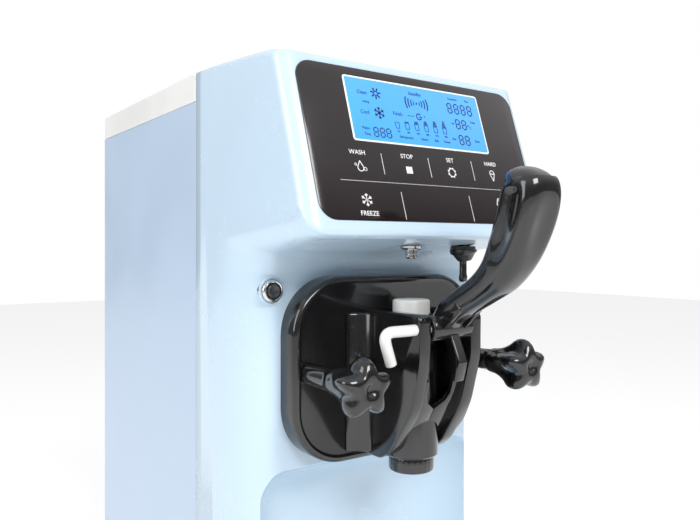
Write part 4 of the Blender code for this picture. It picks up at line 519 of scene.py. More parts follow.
arc(bm, -68.6, -20.8, 2.6, -195.0, 15.0, 0.6, 18)
for side in (-1, 1):
    bar(bm, -68.6 + side * 2.5, -20.1, -68.6, -15.4, 0.6)
arc(bm, -64.6, -21.6, 1.3, 0.0, 360.0, 0.4, 12)
arc(bm, -72.6, -18.4, 0.9, 0.0, 360.0, 0.4, 12)
arc(bm, 65.6, -16.8, 2.5, -12.0, 192.0, 0.6, 14)
bar(bm, 62.9, -17.2, 68.3, -17.2, 0.6)
for side in (-1, 1):
    bar(bm, 65.6 + side * 2.4, -17.4, 65.6, -23.4, 0.6)
snowflake(bm, -68.6, -45.2, 4.8, 0.65)
arc(bm, 65.9, -43.0, 2.6, -10.0, 190.0, 0.6, 14)
arc(bm, 65.9, -40.2, 1.5, -10.0, 190.0, 0.6, 12)
bar(bm, 62.6, -43.9, 69.2, -43.9, 0.6)
for side in (-1, 1):
    bar(bm, 65.9 + side * 2.7, -44.2, 65.9 + side * 1.7, -49.4, 0.6)
bar(bm, 64.3, -49.2, 67.5, -49.2, 0.6)
printed("panel_print", bm, white_ink_painted_glow, panel_face)

# --- Display ------------------------------------------------------------------------------------
# A backlit liquid crystal window behind the panel: an even blue field in a white frame, with dark
# segments and words that the glass carries, each a few tenths of a millimetre wide.
view_a, view_b, view_half_a, view_half_b = -1.0, 27.0, 69.0, 26.5
display_field = finish_with_grain("display_field", (0.055, 0.325, 0.86), (0.065, 0.345, 0.90), (0.12, 0.18),
                                  scale=2200.0, bump=0.004, height=0.0001, coat=0.2)
lit = display_field.node_tree.nodes["Principled BSDF"]
lit.inputs["Emission Color"].default_value = (0.065, 0.34, 0.92, 1.0)
lit.inputs["Emission Strength"].default_value = 0.25
frame_white = finish_flat("display_frame_white", (0.84, 0.86, 0.88), 0.30, glow=(0.9, 0.95, 1.0),
                          strength=0.10)
segment_ink = finish_flat("segment_ink", (0.012, 0.030, 0.10), 0.35)
bm = bmesh.new()
plate(bm, view_half_a / 1000.0, view_half_b / 1000.0, 0.0024, -0.004, panel_face + 0.0002, 0.0002, 5,
      (view_a / 1000.0, view_b / 1000.0))
bm.transform(console)
piece("display_frame", bm, frame_white, weighted=False)
bm = bmesh.new()
plate(bm, view_half_a / 1000.0 - 0.0014, view_half_b / 1000.0 - 0.0014, 0.0014, -0.005, panel_face + 0.0004,
      0.0001, 5, (view_a / 1000.0, view_b / 1000.0))
bm.transform(console)
piece("display_window", bm, display_field, stands_for=["display_screen"],
      weighted=False)


def digit(bm, a, b, wide, tall, width):
    """Seven segment figure eight, every segment on."""
    for level in (-0.5, 0.0, 0.5):
        bar(bm, a - 0.34 * wide, b + level * tall, a + 0.34 * wide, b + level * tall, width)
    for side in (-0.5, 0.5):
        for low, high in ((-0.44, -0.06), (0.06, 0.44)):
            bar(bm, a + side * wide, b + low * tall, a + side * wide, b + high * tall, width)


bm = bmesh.new()
for text, a, b, tall in (("Clean", -54.6, 40.6, 3.0), ("rinsing", -52.6, 33.2, 1.9),
                         ("Cool", -55.2, 24.3, 3.0),
                         ("Standby", -2.0, 46.0, 3.0), ("Finish", -23.6, 26.4, 3.0),
                         ("Countdown", 38.6, 47.0, 1.7),
                         ("Time", 54.6, 47.0, 1.7), ("Temp", 56.4, 27.9, 1.9), ("C", 52.6, 22.4, 2.2),
                         ("Unit", 31.0, 10.7, 2.0), ("Batch", 57.0, 10.8, 1.9), ("Motor", -57.0, 11.2, 2.3),
                         ("Time", -56.6, 6.4, 2.3), ("Refrigeration", -19.4, 7.2, 2.1),
                         ("Sensor", -1.2, 7.2, 2.1),
                         ("Belt", 11.2, 7.2, 2.1), ("Power", 22.4, 7.2, 2.1)):
    words(bm, text, a, b, tall, 0.86 if tall < 2.5 else 0.95)
for k in range(7):
    turn = math.radians(10.0 + 51.4 * k)
    c, s = math.cos(turn), math.sin(turn)
    bar(bm, -41.6 + 1.3 * c, 41.3 + 1.3 * s, -41.6 + 4.8 * c, 41.3 + 4.8 * s, 1.3)
snowflake(bm, -41.6, 25.1, 5.0, 0.9)
disc(bm, -2.0, 37.8, 0.9)
for radius in (3.2, 5.6, 8.4, 11.2):
    for middle in (0.0, 180.0):
        spread = 30.0 if radius < 8.0 else 26.0
        arc(bm, -2.0, 37.8, radius, middle - spread, middle + spread, 0.6 + 0.05 * radius, 6)
for k in range(3):
    bar(bm, -13.6 + 2.2 * k, 26.2, -12.2 + 2.2 * k, 26.2, 0.6)
arc(bm, -2.2, 26.4, 2.5, 40.0, 330.0, 0.9, 16)
bar(bm, -2.2, 26.2, 0.6, 26.2, 0.9)
words(bm, "s", 3.5, 27.4, 2.2)
for k in range(4):
    digit(bm, 33.5 + 7.4 * k, 38.3, 4.3, 8.4, 1.0)
bar(bm, 32.0, 24.5, 34.6, 24.5, 0.9)
for k in range(2):
    digit(bm, 38.9 + 7.0 * k, 24.6, 4.2, 8.0, 1.0)
    digit(bm, 38.9 + 7.0 * k, 10.6, 4.2, 8.0, 1.0)
for k in range(3):
    digit(bm, -48.2 + 6.0 * k, 8.8, 3.8, 7.2, 0.9)
words(bm, "s", -34.0, 7.0, 2.0)
arc(bm, 50.2, 24.2, 0.7, 0.0, 360.0, 0.35, 10)
for k in range(6):
    a, low = -26.2 + 9.7 * k, 14.2
    for side in (-1, 1):
        bar(bm, a + side * 2.0, low + 5.0, a + side * 1.6, low, 0.45)
    bar(bm, a - 1.7, low, a + 1.7, low, 0.45)
    bar(bm, a - 2.1, low + 5.0, a + 2.1, low + 5.0, 0.4)
    for step in range(k):
        bar(bm, a - 2.0 + 0.3 * step, low + 5.9 + 1.2 * step, a + 2.0 - 0.3 * step, low + 5.9 + 1.2 * step,
            0.8)
    words(bm, "%d%%" % (15 * (k + 1)), a, 11.5, 1.6, 0.8)
printed("display_marks", bm, segment_ink, panel_face + 0.0004)

# --- Dispensing head ----------------------------------------------------------------------------
# One thick black gloss moulding: a rounded plate against the face, two cheeks that carry the handle
# pin, and the upright valve housing between them. It is held by two star knobs on studs.
head_z = top_z - 0.248
plate_front = face_y - 0.0203
valve_y = face_y - 0.044
pivot_y, pivot_z = face_y - 0.085, head_z + 0.0358
cheek_inner, cheek_outer = 0.020, 0.031
black_gloss = finish_with_grain("black_gloss", (0.0050, 0.0050, 0.0056), (0.0085, 0.0085, 0.0092),
                                (0.10, 0.19), scale=700.0, bump=0.02, coat=0.55, coat_rough=0.06,
                                height=0.0003)


def upright(name_bm, outline, low_x, high_x):
    """Solid between two x places from a side outline of (y, z) places."""
    face = name_bm.faces.new([name_bm.verts.new((low_x, y, z)) for y, z in outline])
    grown = bmesh.ops.extrude_face_region(name_bm, geom=[face], use_keep_orig=True)["geom"]
    bmesh.ops.translate(name_bm, vec=(high_x - low_x, 0.0, 0.0),
                        verts=[v for v in grown if isinstance(v, bmesh.types.BMVert)])


def soften(bm, width, segments=3, angle=30.0):
    """Round every edge sharper than an angle."""
    bmesh.ops.recalc_face_normals(bm, faces=bm.faces)
    sharp = [e for e in bm.edges if len(e.link_faces) == 2 and e.calc_face_angle(0.0) > math.radians(angle)]
    bmesh.ops.bevel(bm, geom=sharp, offset=width, affect="EDGES", segments=segments, profile=0.5,
                    material=-1,
                    clamp_overlap=True)


def add_solid(bm, extra):
    """Put one finished bmesh into another."""
    mesh = bpy.data.meshes.new("extra")
    extra.to_mesh(mesh)
    extra.free()
    bm.from_mesh(mesh)
    bpy.data.meshes.remove(mesh)


def turned(profile, centre, axis="z", steps=48):
    """Solid of revolution from (radius, along) places, both ends of the profile on the axis or not."""
    bm = bmesh.new()
    chain_verts = [bm.verts.new((r, 0.0, along)) for r, along in profile]
    ends_open = profile[0][0] > 1e-7
    chain_edges = [bm.edges.new(pair) for pair in zip(chain_verts, chain_verts[1:])]
    if ends_open:
        chain_edges.append(bm.edges.new((chain_verts[-1], chain_verts[0])))
    bmesh.ops.spin(bm, geom=chain_verts + chain_edges, cent=(0, 0, 0), axis=(0, 0, 1), angle=2 * math.pi,
                   steps=steps, use_merge=True, use_duplicate=False)
    bmesh.ops.remove_doubles(bm, verts=bm.verts, dist=1e-6)
    if axis == "y":
        bm.transform(Matrix.Rotation(math.radians(-90.0), 4, "X"))
    elif axis == "x":
        bm.transform(Matrix.Rotation(math.radians(90.0), 4, "Y"))
    bmesh.ops.translate(bm, vec=centre, verts=bm.verts)
    bmesh.ops.recalc_face_normals(bm, faces=bm.faces)
    return bm


head = bmesh.new()
loops = []
for grow, y in ((0.0, face_y + 0.0003), (0.0, plate_front + 0.0050), (-0.0004, plate_front + 0.0026),
                (-0.0014, plate_front + 0.0010), (-0.0030, plate_front + 0.0001),
                (-0.0044, plate_front - 0.0001),
                (-0.0056, plate_front + 0.0006), (-0.0070, plate_front + 0.0009)):
    loops.append(rounded_ring(head, 0.094 + grow, 0.073 + grow, 0.045 + grow, 14,
                              lambda a, b, y=y: (a, y, head_z + b)))
bridge(head, loops)
cheek_line = fillet([(plate_front + 0.006, pivot_z + 0.011, 0), (pivot_y - 0.006, pivot_z + 0.011, 0.006),
                     (face_y - 0.0905, head_z + 0.012, 0.05), (face_y - 0.0800, head_z - 0.026, 0.05),
                     (face_y - 0.0560, head_z - 0.060, 0.03), (face_y - 0.042, head_z - 0.0675, 0.01),
                     (plate_front + 0.006, head_z - 0.0675, 0)], 7)
for side in (-1, 1):
    cheek = bmesh.new()
    ends = sorted((side * cheek_inner, side * cheek_outer))
    upright(cheek, cheek_line, *ends)
    soften(cheek, 0.0017)
    add_solid(head, cheek)
    flare = bmesh.new()
    reach, low, high = 0.016, head_z - 0.066, pivot_z + 0.0085
    curve = [(side * (cheek_outer - 0.004), plate_front + 0.005)]
    for k in range(11):
        turn = math.radians(90.0 * k / 10)
        curve.append((side * (cheek_outer - 0.0006 + reach * (1.0 - math.sin(turn))),
                      plate_front - reach * (1.0 - math.cos(turn))))
    curve.append((side * (cheek_outer - 0.004), plate_front - reach))
    face = flare.faces.new([flare.verts.new((x, y, low)) for x, y in curve])
    grown = bmesh.ops.extrude_face_region(flare, geom=[face], use_keep_orig=True)["geom"]
    bmesh.ops.translate(flare, vec=(0.0, 0.0, high - low),
                        verts=[v for v in grown if isinstance(v, bmesh.types.BMVert)])
    bmesh.ops.recalc_face_normals(flare, faces=flare.faces)
    rims = [e for e in flare.edges
            if abs(e.verts[0].co.z - e.verts[1].co.z) < 1e-6 and len(e.link_faces) == 2]
    bmesh.ops.bevel(flare, geom=rims, offset=0.0022, affect="EDGES", segments=3, profile=0.5, material=-1)
    add_solid(head, flare)
web = bmesh.new()
web_line = [(plate_front + 0.004, head_z + 0.0430), (valve_y + 0.0005, head_z + 0.0430),
            (valve_y + 0.0005, head_z - 0.065), (plate_front + 0.004, head_z - 0.065)]
upright(web, web_line, -cheek_inner - 0.002, cheek_inner + 0.002)
soften(web, 0.0008, 2)
web_piece = piece("head_web", web, black_gloss, weighted=False)
cut_away(web_piece, [cutter("web_bore", turned([(0.0, head_z - 0.0615), (0.0155, head_z - 0.0615),
                                                (0.0155, top_z), (0.0, top_z)], (0.0, valve_y, 0.0)))])
tube = turned([(0.0114, head_z - 0.068), (0.0200, head_z - 0.068), (0.0212, head_z - 0.0665),
               (0.0212, head_z + 0.0425), (0.0204, head_z + 0.0440), (0.0163, head_z + 0.0440),
               (0.0155, head_z + 0.0432), (0.0155, head_z - 0.0600), (0.0114, head_z - 0.0600)],
              (0.0, valve_y, 0.0), steps=64)
housing = piece("valve_housing", tube, black_gloss, weighted=False)
window = bmesh.new()
upright(window, [(valve_y - 0.030, pivot_z - 0.017), (valve_y - 0.004, pivot_z - 0.017),
                 (valve_y - 0.004, top_z), (valve_y - 0.030, top_z)], -0.0052, 0.0052)
cut_away(housing, [cutter("finger_window", window)])
bib_steps = 10
bib_rows = []
for k in range(bib_steps + 1):
    z = head_z - 0.064 + 0.060 * k / bib_steps
    y = face_y - (0.047 + 0.034 * math.sin(math.radians(75.0 * k / bib_steps)))
    gap = max(0.0, 0.0118 ** 2 - max(0.0, head_z - 0.014 - z) ** 2) ** 0.5 if z > head_z - 0.0258 else 0.0
    bib_rows.append((y, z, gap))
for side in (-1, 1):
    shield = bmesh.new()
    front_rows = [[shield.verts.new((side * x, y, z)) for x in (gap, (gap + cheek_inner) / 2.0,
        cheek_inner + 0.002)]
                  for y, z, gap in bib_rows]
    for one, two in zip(front_rows, front_rows[1:]):
        for k in range(2):
            shield.faces.new((one[k], one[k + 1], two[k + 1], two[k]))
    bmesh.ops.recalc_face_normals(shield, faces=shield.faces)
    bmesh.ops.solidify(shield, geom=list(shield.faces), thickness=0.004)
    soften(shield, 0.0010, 2, 50.0)
    add_solid(head, shield)
piece("head_moulding", head, black_gloss, stands_for=["dispensing_head"],
      weighted=False,
      keep_normals=True)

# --- Nozzle cap ---------------------------------------------------------------------------------
# A shallow black cap that twists on under the valve housing and shapes the ribbon of ice cream. Its
# rim is fluted for the fingers and its throat is a star.
nozzle_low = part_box("nozzle_cap")[0].z
cap_bm = turned([(0.0082, nozzle_low + 0.0008), (0.0090, nozzle_low), (0.0162, nozzle_low),
                 (0.0174, nozzle_low + 0.0008),
                 (0.0180, nozzle_low + 0.0022), (0.0180, nozzle_low + 0.0100),
                 (0.0174, nozzle_low + 0.0114),
                 (0.0112, nozzle_low + 0.0114), (0.0112, nozzle_low + 0.0042),
                 (0.0082, nozzle_low + 0.0042)],
                (0.0, valve_y, 0.0), steps=96)
for v in cap_bm.verts:
    out = Vector((v.co.x, v.co.y - valve_y))
    around = math.atan2(out.y, out.x)
    if out.length > 0.0165 and nozzle_low + 0.0015 < v.co.z < nozzle_low + 0.0110:
        share = 1.0 - 0.022 * (0.5 - 0.5 * math.cos(24.0 * around))
    elif out.length < 0.0095:
        share = 1.0 - 0.22 * (0.5 - 0.5 * math.cos(6.0 * around))
    else:
        share = 1.0
    v.co.x, v.co.y = out.x * share, valve_y + out.y * share
piece("nozzle_ring", cap_bm, black_gloss, body="nozzle", stands_for=["nozzle_cap"],
      weighted=False)

# --- Star knobs ---------------------------------------------------------------------------------
# Two five-lobed black knobs, moulded round a threaded insert. The back tapers in ribs to a long neck
# that reaches down to the plate, so that fingers clear the cheeks.
knob_reach, knob_radius = 0.099, 0.0215
knob_rows = [(0.0024, 0.04, 0.0), (0.0022, 0.12, 0.0), (0.0012, 0.18, 0.0), (0.0003, 0.26, 0.05),
             (0.0, 0.40, 0.25),
             (0.0003, 0.56, 0.55), (0.0012, 0.72, 0.85), (0.0028, 0.86, 1.0), (0.0052, 0.955, 1.0),
             (0.0085, 1.0, 1.0), (0.0120, 1.0, 1.0), (0.0155, 0.965, 1.0), (0.0185, 0.89, 1.0),
             (0.0210, 0.80, 0.95),
             (0.0245, 0.70, 0.80), (0.0285, 0.61, 0.55), (0.0330, 0.54, 0.30), (0.0375, 0.50, 0.12),
             (0.0415, 0.485, 0.0), (0.0425, 0.47, 0.0), (0.0432, 0.43, 0.0), (0.0500, 0.415, 0.0),
             (0.0620, 0.39, 0.0), (0.0760, 0.372, 0.0), (0.0785, 0.360, 0.0)]
for side, word in ((-1, "left"), (1, "right")):
    knob = bmesh.new()
    x = side * 0.080
    steps = 80
    rings = []
    for back, share, star in knob_rows:
        ring = []
        for k in range(steps):
            turn = 2.0 * math.pi * k / steps
            wave = (0.5 - 0.5 * math.cos(5.0 * turn)) ** 0.85
            radius = knob_radius * share * (1.0 - 0.33 * star * wave)
            ring.append(knob.verts.new((x + radius * math.sin(turn), face_y - knob_reach + back,
                                        head_z + radius * math.cos(turn))))
        rings.append([knob.edges.new((ring[k], ring[(k + 1) % steps])) for k in range(steps)])
    bridge(knob, rings)
    piece("star_knob_" + word, knob, black_gloss, body=word + "_knob",
          stands_for=["knob_" + word], weighted=False, crease=50.0)

# --- Draw handle --------------------------------------------------------------------------------
# A black gloss lever, moulded in one: a barrel on the pin between the cheeks, a tapering arm, and a
# grip with a thumb dish in front and a finger groove down each side. A finger inside the valve slot
# lifts the plunger, and a tongue below the barrel stops the swing.
handle_rows = [(0.083, 0.000, 0.0088, 0.0122), (0.0920, 0.012, 0.0100, 0.0122),
               (0.108, 0.022, 0.0106, 0.0118),
               (0.124, 0.031, 0.0114, 0.0122), (0.140, 0.043, 0.0140, 0.0145),
               (0.152, 0.060, 0.0168, 0.0165),
               (0.161, 0.080, 0.0178, 0.0178), (0.165, 0.096, 0.0172, 0.0180),
               (0.1648, 0.1045, 0.0146, 0.0160),
               (0.1638, 0.1100, 0.0102, 0.0120), (0.1630, 0.1128, 0.0050, 0.0062),
               (0.1628, 0.1134, 0.0012, 0.0016)]


def through(rows, share):
    """Smooth value between rows (Catmull-Rom), share from 0 to the number of rows less one."""
    i = min(int(share), len(rows) - 2)
    t = share - i
    p = [Vector(rows[min(max(i + k, 0), len(rows) - 1)]) for k in (-1, 0, 1, 2)]
    return 0.5 * (2.0 * p[1] + (p[2] - p[0]) * t + (2.0 * p[0] - 5.0 * p[1] + 4.0 * p[2] - p[3]) * t * t
                  + (3.0 * p[1] - p[0] - 3.0 * p[2] + p[3]) * t ** 3)


def hump(value, middle, half):
    share = abs(value - middle) / half
    return (1.0 - share * share) ** 2 if share < 1.0 else 0.0


handle = bmesh.new()
rings, around, fine = [], 56, 6
total = (len(handle_rows) - 1) * fine
for i in range(total + 1):
    ahead, above, deep, wide = through(handle_rows, i / fine)
    near, far = through(handle_rows, max(i - 1, 0) / fine), through(handle_rows, min(i + 1, total) / fine)
    if i > total - 3 * fine:
        near, far = through(handle_rows, (total - 5.0 * fine) / fine), through(handle_rows,
            (total - 3.0 * fine) / fine)
    along = Vector((0.0, -(far[0] - near[0]), far[1] - near[1])).normalized()
    across = Vector((1.0, 0.0, 0.0)).cross(along)
    ring = []
    for k in range(around):
        turn = 2.0 * math.pi * k / around
        c, s = math.cos(turn), math.sin(turn)
        c, s = math.copysign(abs(c) ** 0.72, c), math.copysign(abs(s) ** 0.72, s)
        dish = 0.0042 * hump(above, 0.079, 0.027) * max(0.0,
                                                        1.0 - (c / 0.78) ** 2) ** 1.5 if s > 0.0 else 0.0
        groove = 0.0034 * (hump(s, -0.12, 0.62)) * smooth_step(above, 0.046, 0.062) * (
            1.0 - smooth_step(above, 0.094, 0.101))
        ring.append(handle.verts.new(Vector(((wide - groove * (1.0 if abs(c) > 0.5 else 0.0)) * c,
                                             face_y - ahead,
                                             pivot_z + above)) + across * (deep * s - dish)))
    rings.append([handle.edges.new((ring[k], ring[(k + 1) % around])) for k in range(around)])
bridge(handle, rings)
barrel = turned([(0.0047, -0.0190), (0.0080, -0.0194), (0.0092, -0.0186), (0.0096, -0.0176),
                 (0.0096, 0.0176),
                 (0.0092, 0.0186), (0.0080, 0.0194), (0.0047, 0.0190)], (0.0, pivot_y, pivot_z), axis="x",
                 steps=48)
add_solid(handle, barrel)
for side in (-1, 1):
    rib = bmesh.new()
    rib_line = [(pivot_y - 0.0080, pivot_z - 0.002), (pivot_y - 0.0270, pivot_z + 0.0150),
                (pivot_y - 0.0200, pivot_z + 0.0235), (pivot_y - 0.0020, pivot_z + 0.0088)]
    ends = sorted((side * 0.0085, side * 0.0118))
    upright(rib, fillet([(y, z, 0.003) for y, z in rib_line], 2), *ends)
    soften(rib, 0.0009, 2)
    add_solid(handle, rib)
tongue = bmesh.new()
tongue_line = [(0.088, -0.002), (0.094, -0.004), (0.1030, -0.024), (0.0985, -0.0385), (0.0935, -0.0378),
               (0.0902, -0.0290), (0.0885, -0.008)]
upright(tongue, [(face_y - ahead, pivot_z + above) for ahead, above in tongue_line], -0.0042, 0.0042)
soften(tongue, 0.0009, 2)
add_solid(handle, tongue)
lift = bmesh.new()
lift_turn = math.radians(-20.0)
reach = Vector((math.cos(lift_turn), math.sin(lift_turn)))
half = Vector((-reach.y, reach.x)) * 0.0032
outline = [reach * 0.006 - half, reach * 0.029 - half, reach * 0.029 + half, reach * 0.006 + half]
upright(lift, [(pivot_y + p.x, pivot_z + p.y) for p in outline], -0.0039, 0.0039)
soften(lift, 0.0008, 2)
add_solid(handle, lift)
tip = turned([(0.0, -0.0040), (0.0036, -0.0040), (0.0040, -0.0036), (0.0040, 0.0036), (0.0036, 0.0040),
              (0.0, 0.0040)], (0.0, pivot_y + reach.x * 0.029, pivot_z + reach.y * 0.029), axis="x",
              steps=32)
add_solid(handle, tip)
piece("draw_lever", handle, black_gloss, body="handle", stands_for=["draw_handle"],
      weighted=False, crease=60.0, keep_normals=True)

# --- Handle pin and valve plunger ---------------------------------------------------------------
# Both are white food-grade acetal, turned and bent: the pin slides through both cheeks and its free
# end is bent down as a grip, and the plunger runs in the housing on two rings.
acetal = finish_with_grain("acetal", (0.74, 0.735, 0.715), (0.80, 0.795, 0.775), (0.30, 0.42), scale=1400.0,
                           bump=0.03, height=0.0002)
acetal.node_tree.nodes["Principled BSDF"].inputs["Subsurface Weight"].default_value = 0.08
acetal.node_tree.nodes["Principled BSDF"].inputs["Subsurface Radius"].default_value = (0.004, 0.004, 0.004)
pin_radius, pin_far, pin_bend = 0.0041, -0.0608, 0.0095
path = [Vector((0.0295, 0.0, 0.0)), Vector((0.0, 0.0, 0.0)), Vector((pin_far + pin_bend, 0.0, 0.0))]
leg_way = Vector((0.008, 0.0, -0.024)).normalized()
knee = Vector((pin_far, 0.0, 0.0))
for k in range(1, 12):
    t = k / 12.0
    start, end = knee + Vector((pin_bend, 0, 0)), knee + leg_way * pin_bend
    path.append(start * (1 - t) ** 2 + knee * 2 * t * (1 - t) + end * t * t)
path += [knee + leg_way * pin_bend, knee + leg_way * 0.0240]
pin = bmesh.new()
rings, count = [], 28
for i, place in enumerate(path):
    ahead = (path[min(i + 1, len(path) - 1)] - path[max(i - 1, 0)]).normalized()
    side_way = Vector((0.0, 1.0, 0.0))
    up_way = side_way.cross(ahead)
    ends = [(0.0, 1.0)]
    if i in (0, len(path) - 1):
        out = -1.0 if i == 0 else 1.0
        ends = [(0.0, 1.0), (out * 0.0007, 0.93), (out * 0.0010, 0.80)]
        if i == 0:
            ends.reverse()
    for shift, share in ends:
        ring = [pin.verts.new(Vector((0.0, pivot_y, pivot_z)) + place + ahead * shift
                              + (side_way * math.cos(a) + up_way * math.sin(a)) * pin_radius * share)
                for a in (2.0 * math.pi * k / count for k in range(count))]
        rings.append([pin.edges.new((ring[k], ring[(k + 1) % count])) for k in range(count)])
bridge(pin, rings)
piece("bent_pin", pin, acetal, body="pin", stands_for=["handle_pin"], weighted=False,
      crease=60.0)
plunger_top, plunger_foot = head_z + 0.0545, head_z - 0.058
grooves = []
for low in (plunger_foot + 0.0040, plunger_foot + 0.0300):
    grooves += [(0.0148, low - 0.0003), (0.0145, low), (0.0129, low), (0.0129, low + 0.0032),
                (0.0145, low + 0.0032), (0.0148, low + 0.0035)]
plunger = piece("plunger", turned([(0.0, plunger_foot), (0.0128, plunger_foot),
                                   (0.0148, plunger_foot + 0.002)]
                                  + grooves
                                  + [(0.0148, plunger_top - 0.0016), (0.0143, plunger_top - 0.0005),
                                     (0.0134, plunger_top), (0.0, plunger_top)], (0.0, valve_y, 0.0),
                                     steps=64),
                acetal, body="plunger", stands_for=["valve_plunger"], weighted=False)
slot_z = pivot_z + 0.029 * math.sin(lift_turn)
slot_cut = bmesh.new()
upright(slot_cut, [(valve_y - 0.03, slot_z - 0.005), (face_y - 0.051, slot_z - 0.005),
                   (face_y - 0.051, slot_z + 0.005), (valve_y - 0.03, slot_z + 0.005)], -0.005, 0.005)
cut_away(plunger, [cutter("plunger_slot", slot_cut)])

# --- Push button --------------------------------------------------------------------------------
# A vandal-proof metal push button in the left of the face: a polished flange, a dark gap and a
# slightly dished dark cap. The moulding has a thin raised ring round it.
button_low, button_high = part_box("button_bezel")
button_x, button_z = (button_low.x + button_high.x) / 2.0, (button_low.z + button_high.z) / 2.0
polished_steel = finish_with_grain("polished_steel", (0.56, 0.56, 0.57), (0.66, 0.66, 0.67), (0.10, 0.20),
                                   metal=1.0,
                                   scale=1600.0, bump=0.02, height=0.0001)
ring_bm = turned([(0.0094, 0.0006), (0.0096, -0.0004), (0.0104, -0.0007), (0.0111, -0.0004),
                  (0.0113, 0.0006)],
                 (button_x, face_y, button_z), axis="y", steps=64)
piece("button_ring", ring_bm, shell_plastic, weighted=False)
bezel = turned([(0.0062, 0.0140), (0.0062, -0.0020), (0.0066, -0.0029), (0.0074, -0.0031),
                (0.0084, -0.0025),
                (0.0090, -0.0014), (0.0092, 0.0000), (0.0080, 0.0001), (0.0080, 0.0140)],
               (button_x, face_y, button_z), axis="y", steps=64)
piece("button_flange", bezel, polished_steel, stands_for=["button_bezel"],
      weighted=False)
dark_cap = finish_with_grain("dark_cap", (0.030, 0.034, 0.038), (0.046, 0.051, 0.056), (0.22, 0.34),
                             scale=900.0,
                             bump=0.03, height=0.0002, coat=0.3)
cap = turned([(0.0, 0.0090), (0.0055, 0.0090), (0.0056, -0.0028), (0.0052, -0.0036), (0.0045, -0.0039),
              (0.0030, -0.0034), (0.0, -0.0031)], (button_x, face_y, button_z), axis="y", steps=64)
piece("button_dome", cap, dark_cap, body="button", stands_for=["button_cap"],
      weighted=False)

# --- Sensor and lever switch under the console --------------------------------------------------
# A polished steel sensor points down above the valve. Beside it a black rubber boot with a glossy
# collar holds the stalk of a small lever switch.
seat = top_z - 0.1514
seat_y = valve_y
sensor = turned([(0.0, -0.0100), (0.0034, -0.0100), (0.0042, -0.0096), (0.0048, -0.0088), (0.0048, -0.0068),
                 (0.0044, -0.0064), (0.0044, -0.0058), (0.0050, -0.0054), (0.0050, -0.0030),
                 (0.0066, -0.0027),
                 (0.0082, -0.0022), (0.0089, -0.0014), (0.0090, 0.0), (0.0046, 0.0002), (0.0046, 0.0095),
                 (0.0, 0.0095)], (0.0, seat_y, seat), steps=48)
piece("draw_sensor_tip", sensor, polished_steel, stands_for=["draw_sensor"],
      weighted=False)
soft_black = finish_with_grain("soft_black_rubber", (0.010, 0.010, 0.011), (0.018, 0.018, 0.019),
                               (0.30, 0.42),
                               scale=1300.0, bump=0.05, height=0.0003, coat=0.25)
boot_x = (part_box("switch_boot")[0].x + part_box("switch_boot")[1].x) / 2.0
boot = turned([(0.0042, -0.0122), (0.0056, -0.0122), (0.0064, -0.0112), (0.0082, -0.0086),
               (0.0096, -0.0064),
               (0.0110, -0.0056), (0.0115, -0.0044), (0.0113, -0.0030), (0.0104, -0.0022), (0.0104, 0.0),
               (0.0042, 0.0002)], (boot_x, seat_y, seat), steps=48)
tilt = Matrix.Translation((boot_x, seat_y, seat)) @ Matrix.Rotation(math.radians(-9.0), 4, "Y")
tilt = tilt @ Matrix.Translation((-boot_x, -seat_y, -seat))
for v in boot.verts:
    if v.co.z < seat - 0.003:
        v.co = tilt @ v.co
piece("rubber_boot", boot, soft_black, stands_for=["switch_boot"], weighted=False)
stalk = turned([(0.0, -0.0300), (0.0020, -0.0300), (0.0030, -0.0294), (0.0035, -0.0282), (0.0035, -0.0250),
                (0.0030, -0.0230), (0.0030, -0.0130), (0.0034, -0.0100), (0.0024, -0.0080),
                (0.0024, 0.0078),
                (0.0, 0.0078)], (boot_x, seat_y, seat), steps=32)
piece("lever_stalk", stalk, black_gloss, body="stalk", stands_for=["switch_stalk"],
      weighted=False)

# --- Sheet sides and rear panel -----------------------------------------------------------------
# Pale blue powder-coated steel, 1.5 mm thick, its edges rolled in. The rear sheet is slotted for
# cooling air and held by pan-head screws.
powder_coat = finish_with_grain("powder_coat", (0.435, 0.545, 0.685), (0.450, 0.560, 0.700), (0.30, 0.42),
                                scale=1100.0,
                                bump=0.10, height=0.0002, coat=0.15, coat_rough=0.2)
for side, word in ((-1, "left"), (1, "right")):
    low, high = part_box("side_panel_" + word)
    sheet = bmesh.new()
    bmesh.ops.create_cube(sheet, size=1.0)
    size, middle = high - low, (high + low) / 2.0
    bmesh.ops.scale(sheet, vec=size, verts=sheet.verts)
    bmesh.ops.translate(sheet, vec=middle, verts=sheet.verts)
    outer = [e for e in sheet.edges if all(abs(v.co.x - side * half_width) < 1e-5 for v in e.verts)]
    bmesh.ops.bevel(sheet, geom=outer, offset=0.0011, affect="EDGES", segments=4, profile=0.5, material=-1)
    piece("side_sheet_" + word, sheet, powder_coat, stands_for=["side_panel_" + word],
          weighted=True)


def dress(names, material):
    """Give CAD pieces that keep their shape a worked-out finish."""
    for name in names:
        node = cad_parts[name]
        if node.material_slots:
            node.material_slots[0].material = material
        else:
            node.data.materials.append(material)


dress(["rear_panel"], powder_coat)
rear_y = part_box("rear_panel")[1].y


def pan_head(bm, x, z, radius, turn):
    """Pan-head cross recess screw facing the rear."""
    screw = turned([(0.0, 0.0), (radius, 0.0), (radius, 0.35 * radius), (0.82 * radius, 0.62 * radius),
                    (0.45 * radius, 0.74 * radius), (0.0, 0.76 * radius)], (0.0, 0.0, 0.0), axis="y",
                    steps=24)
    for k in (0, 1):
        cross = bmesh.new()
        bmesh.ops.create_cube(cross, size=1.0)
        bmesh.ops.scale(cross, vec=(1.05 * radius, 0.02 * radius, 0.20 * radius), verts=cross.verts)
        cross.transform(Matrix.Translation((0, 0.765 * radius, 0)) @ Matrix.Rotation(turn + k * math.pi / 2,
            4, "Y"))
        add_solid(screw, cross)
    bmesh.ops.translate(screw, vec=(x, rear_y, z), verts=screw.verts)
    add_solid(bm, screw)


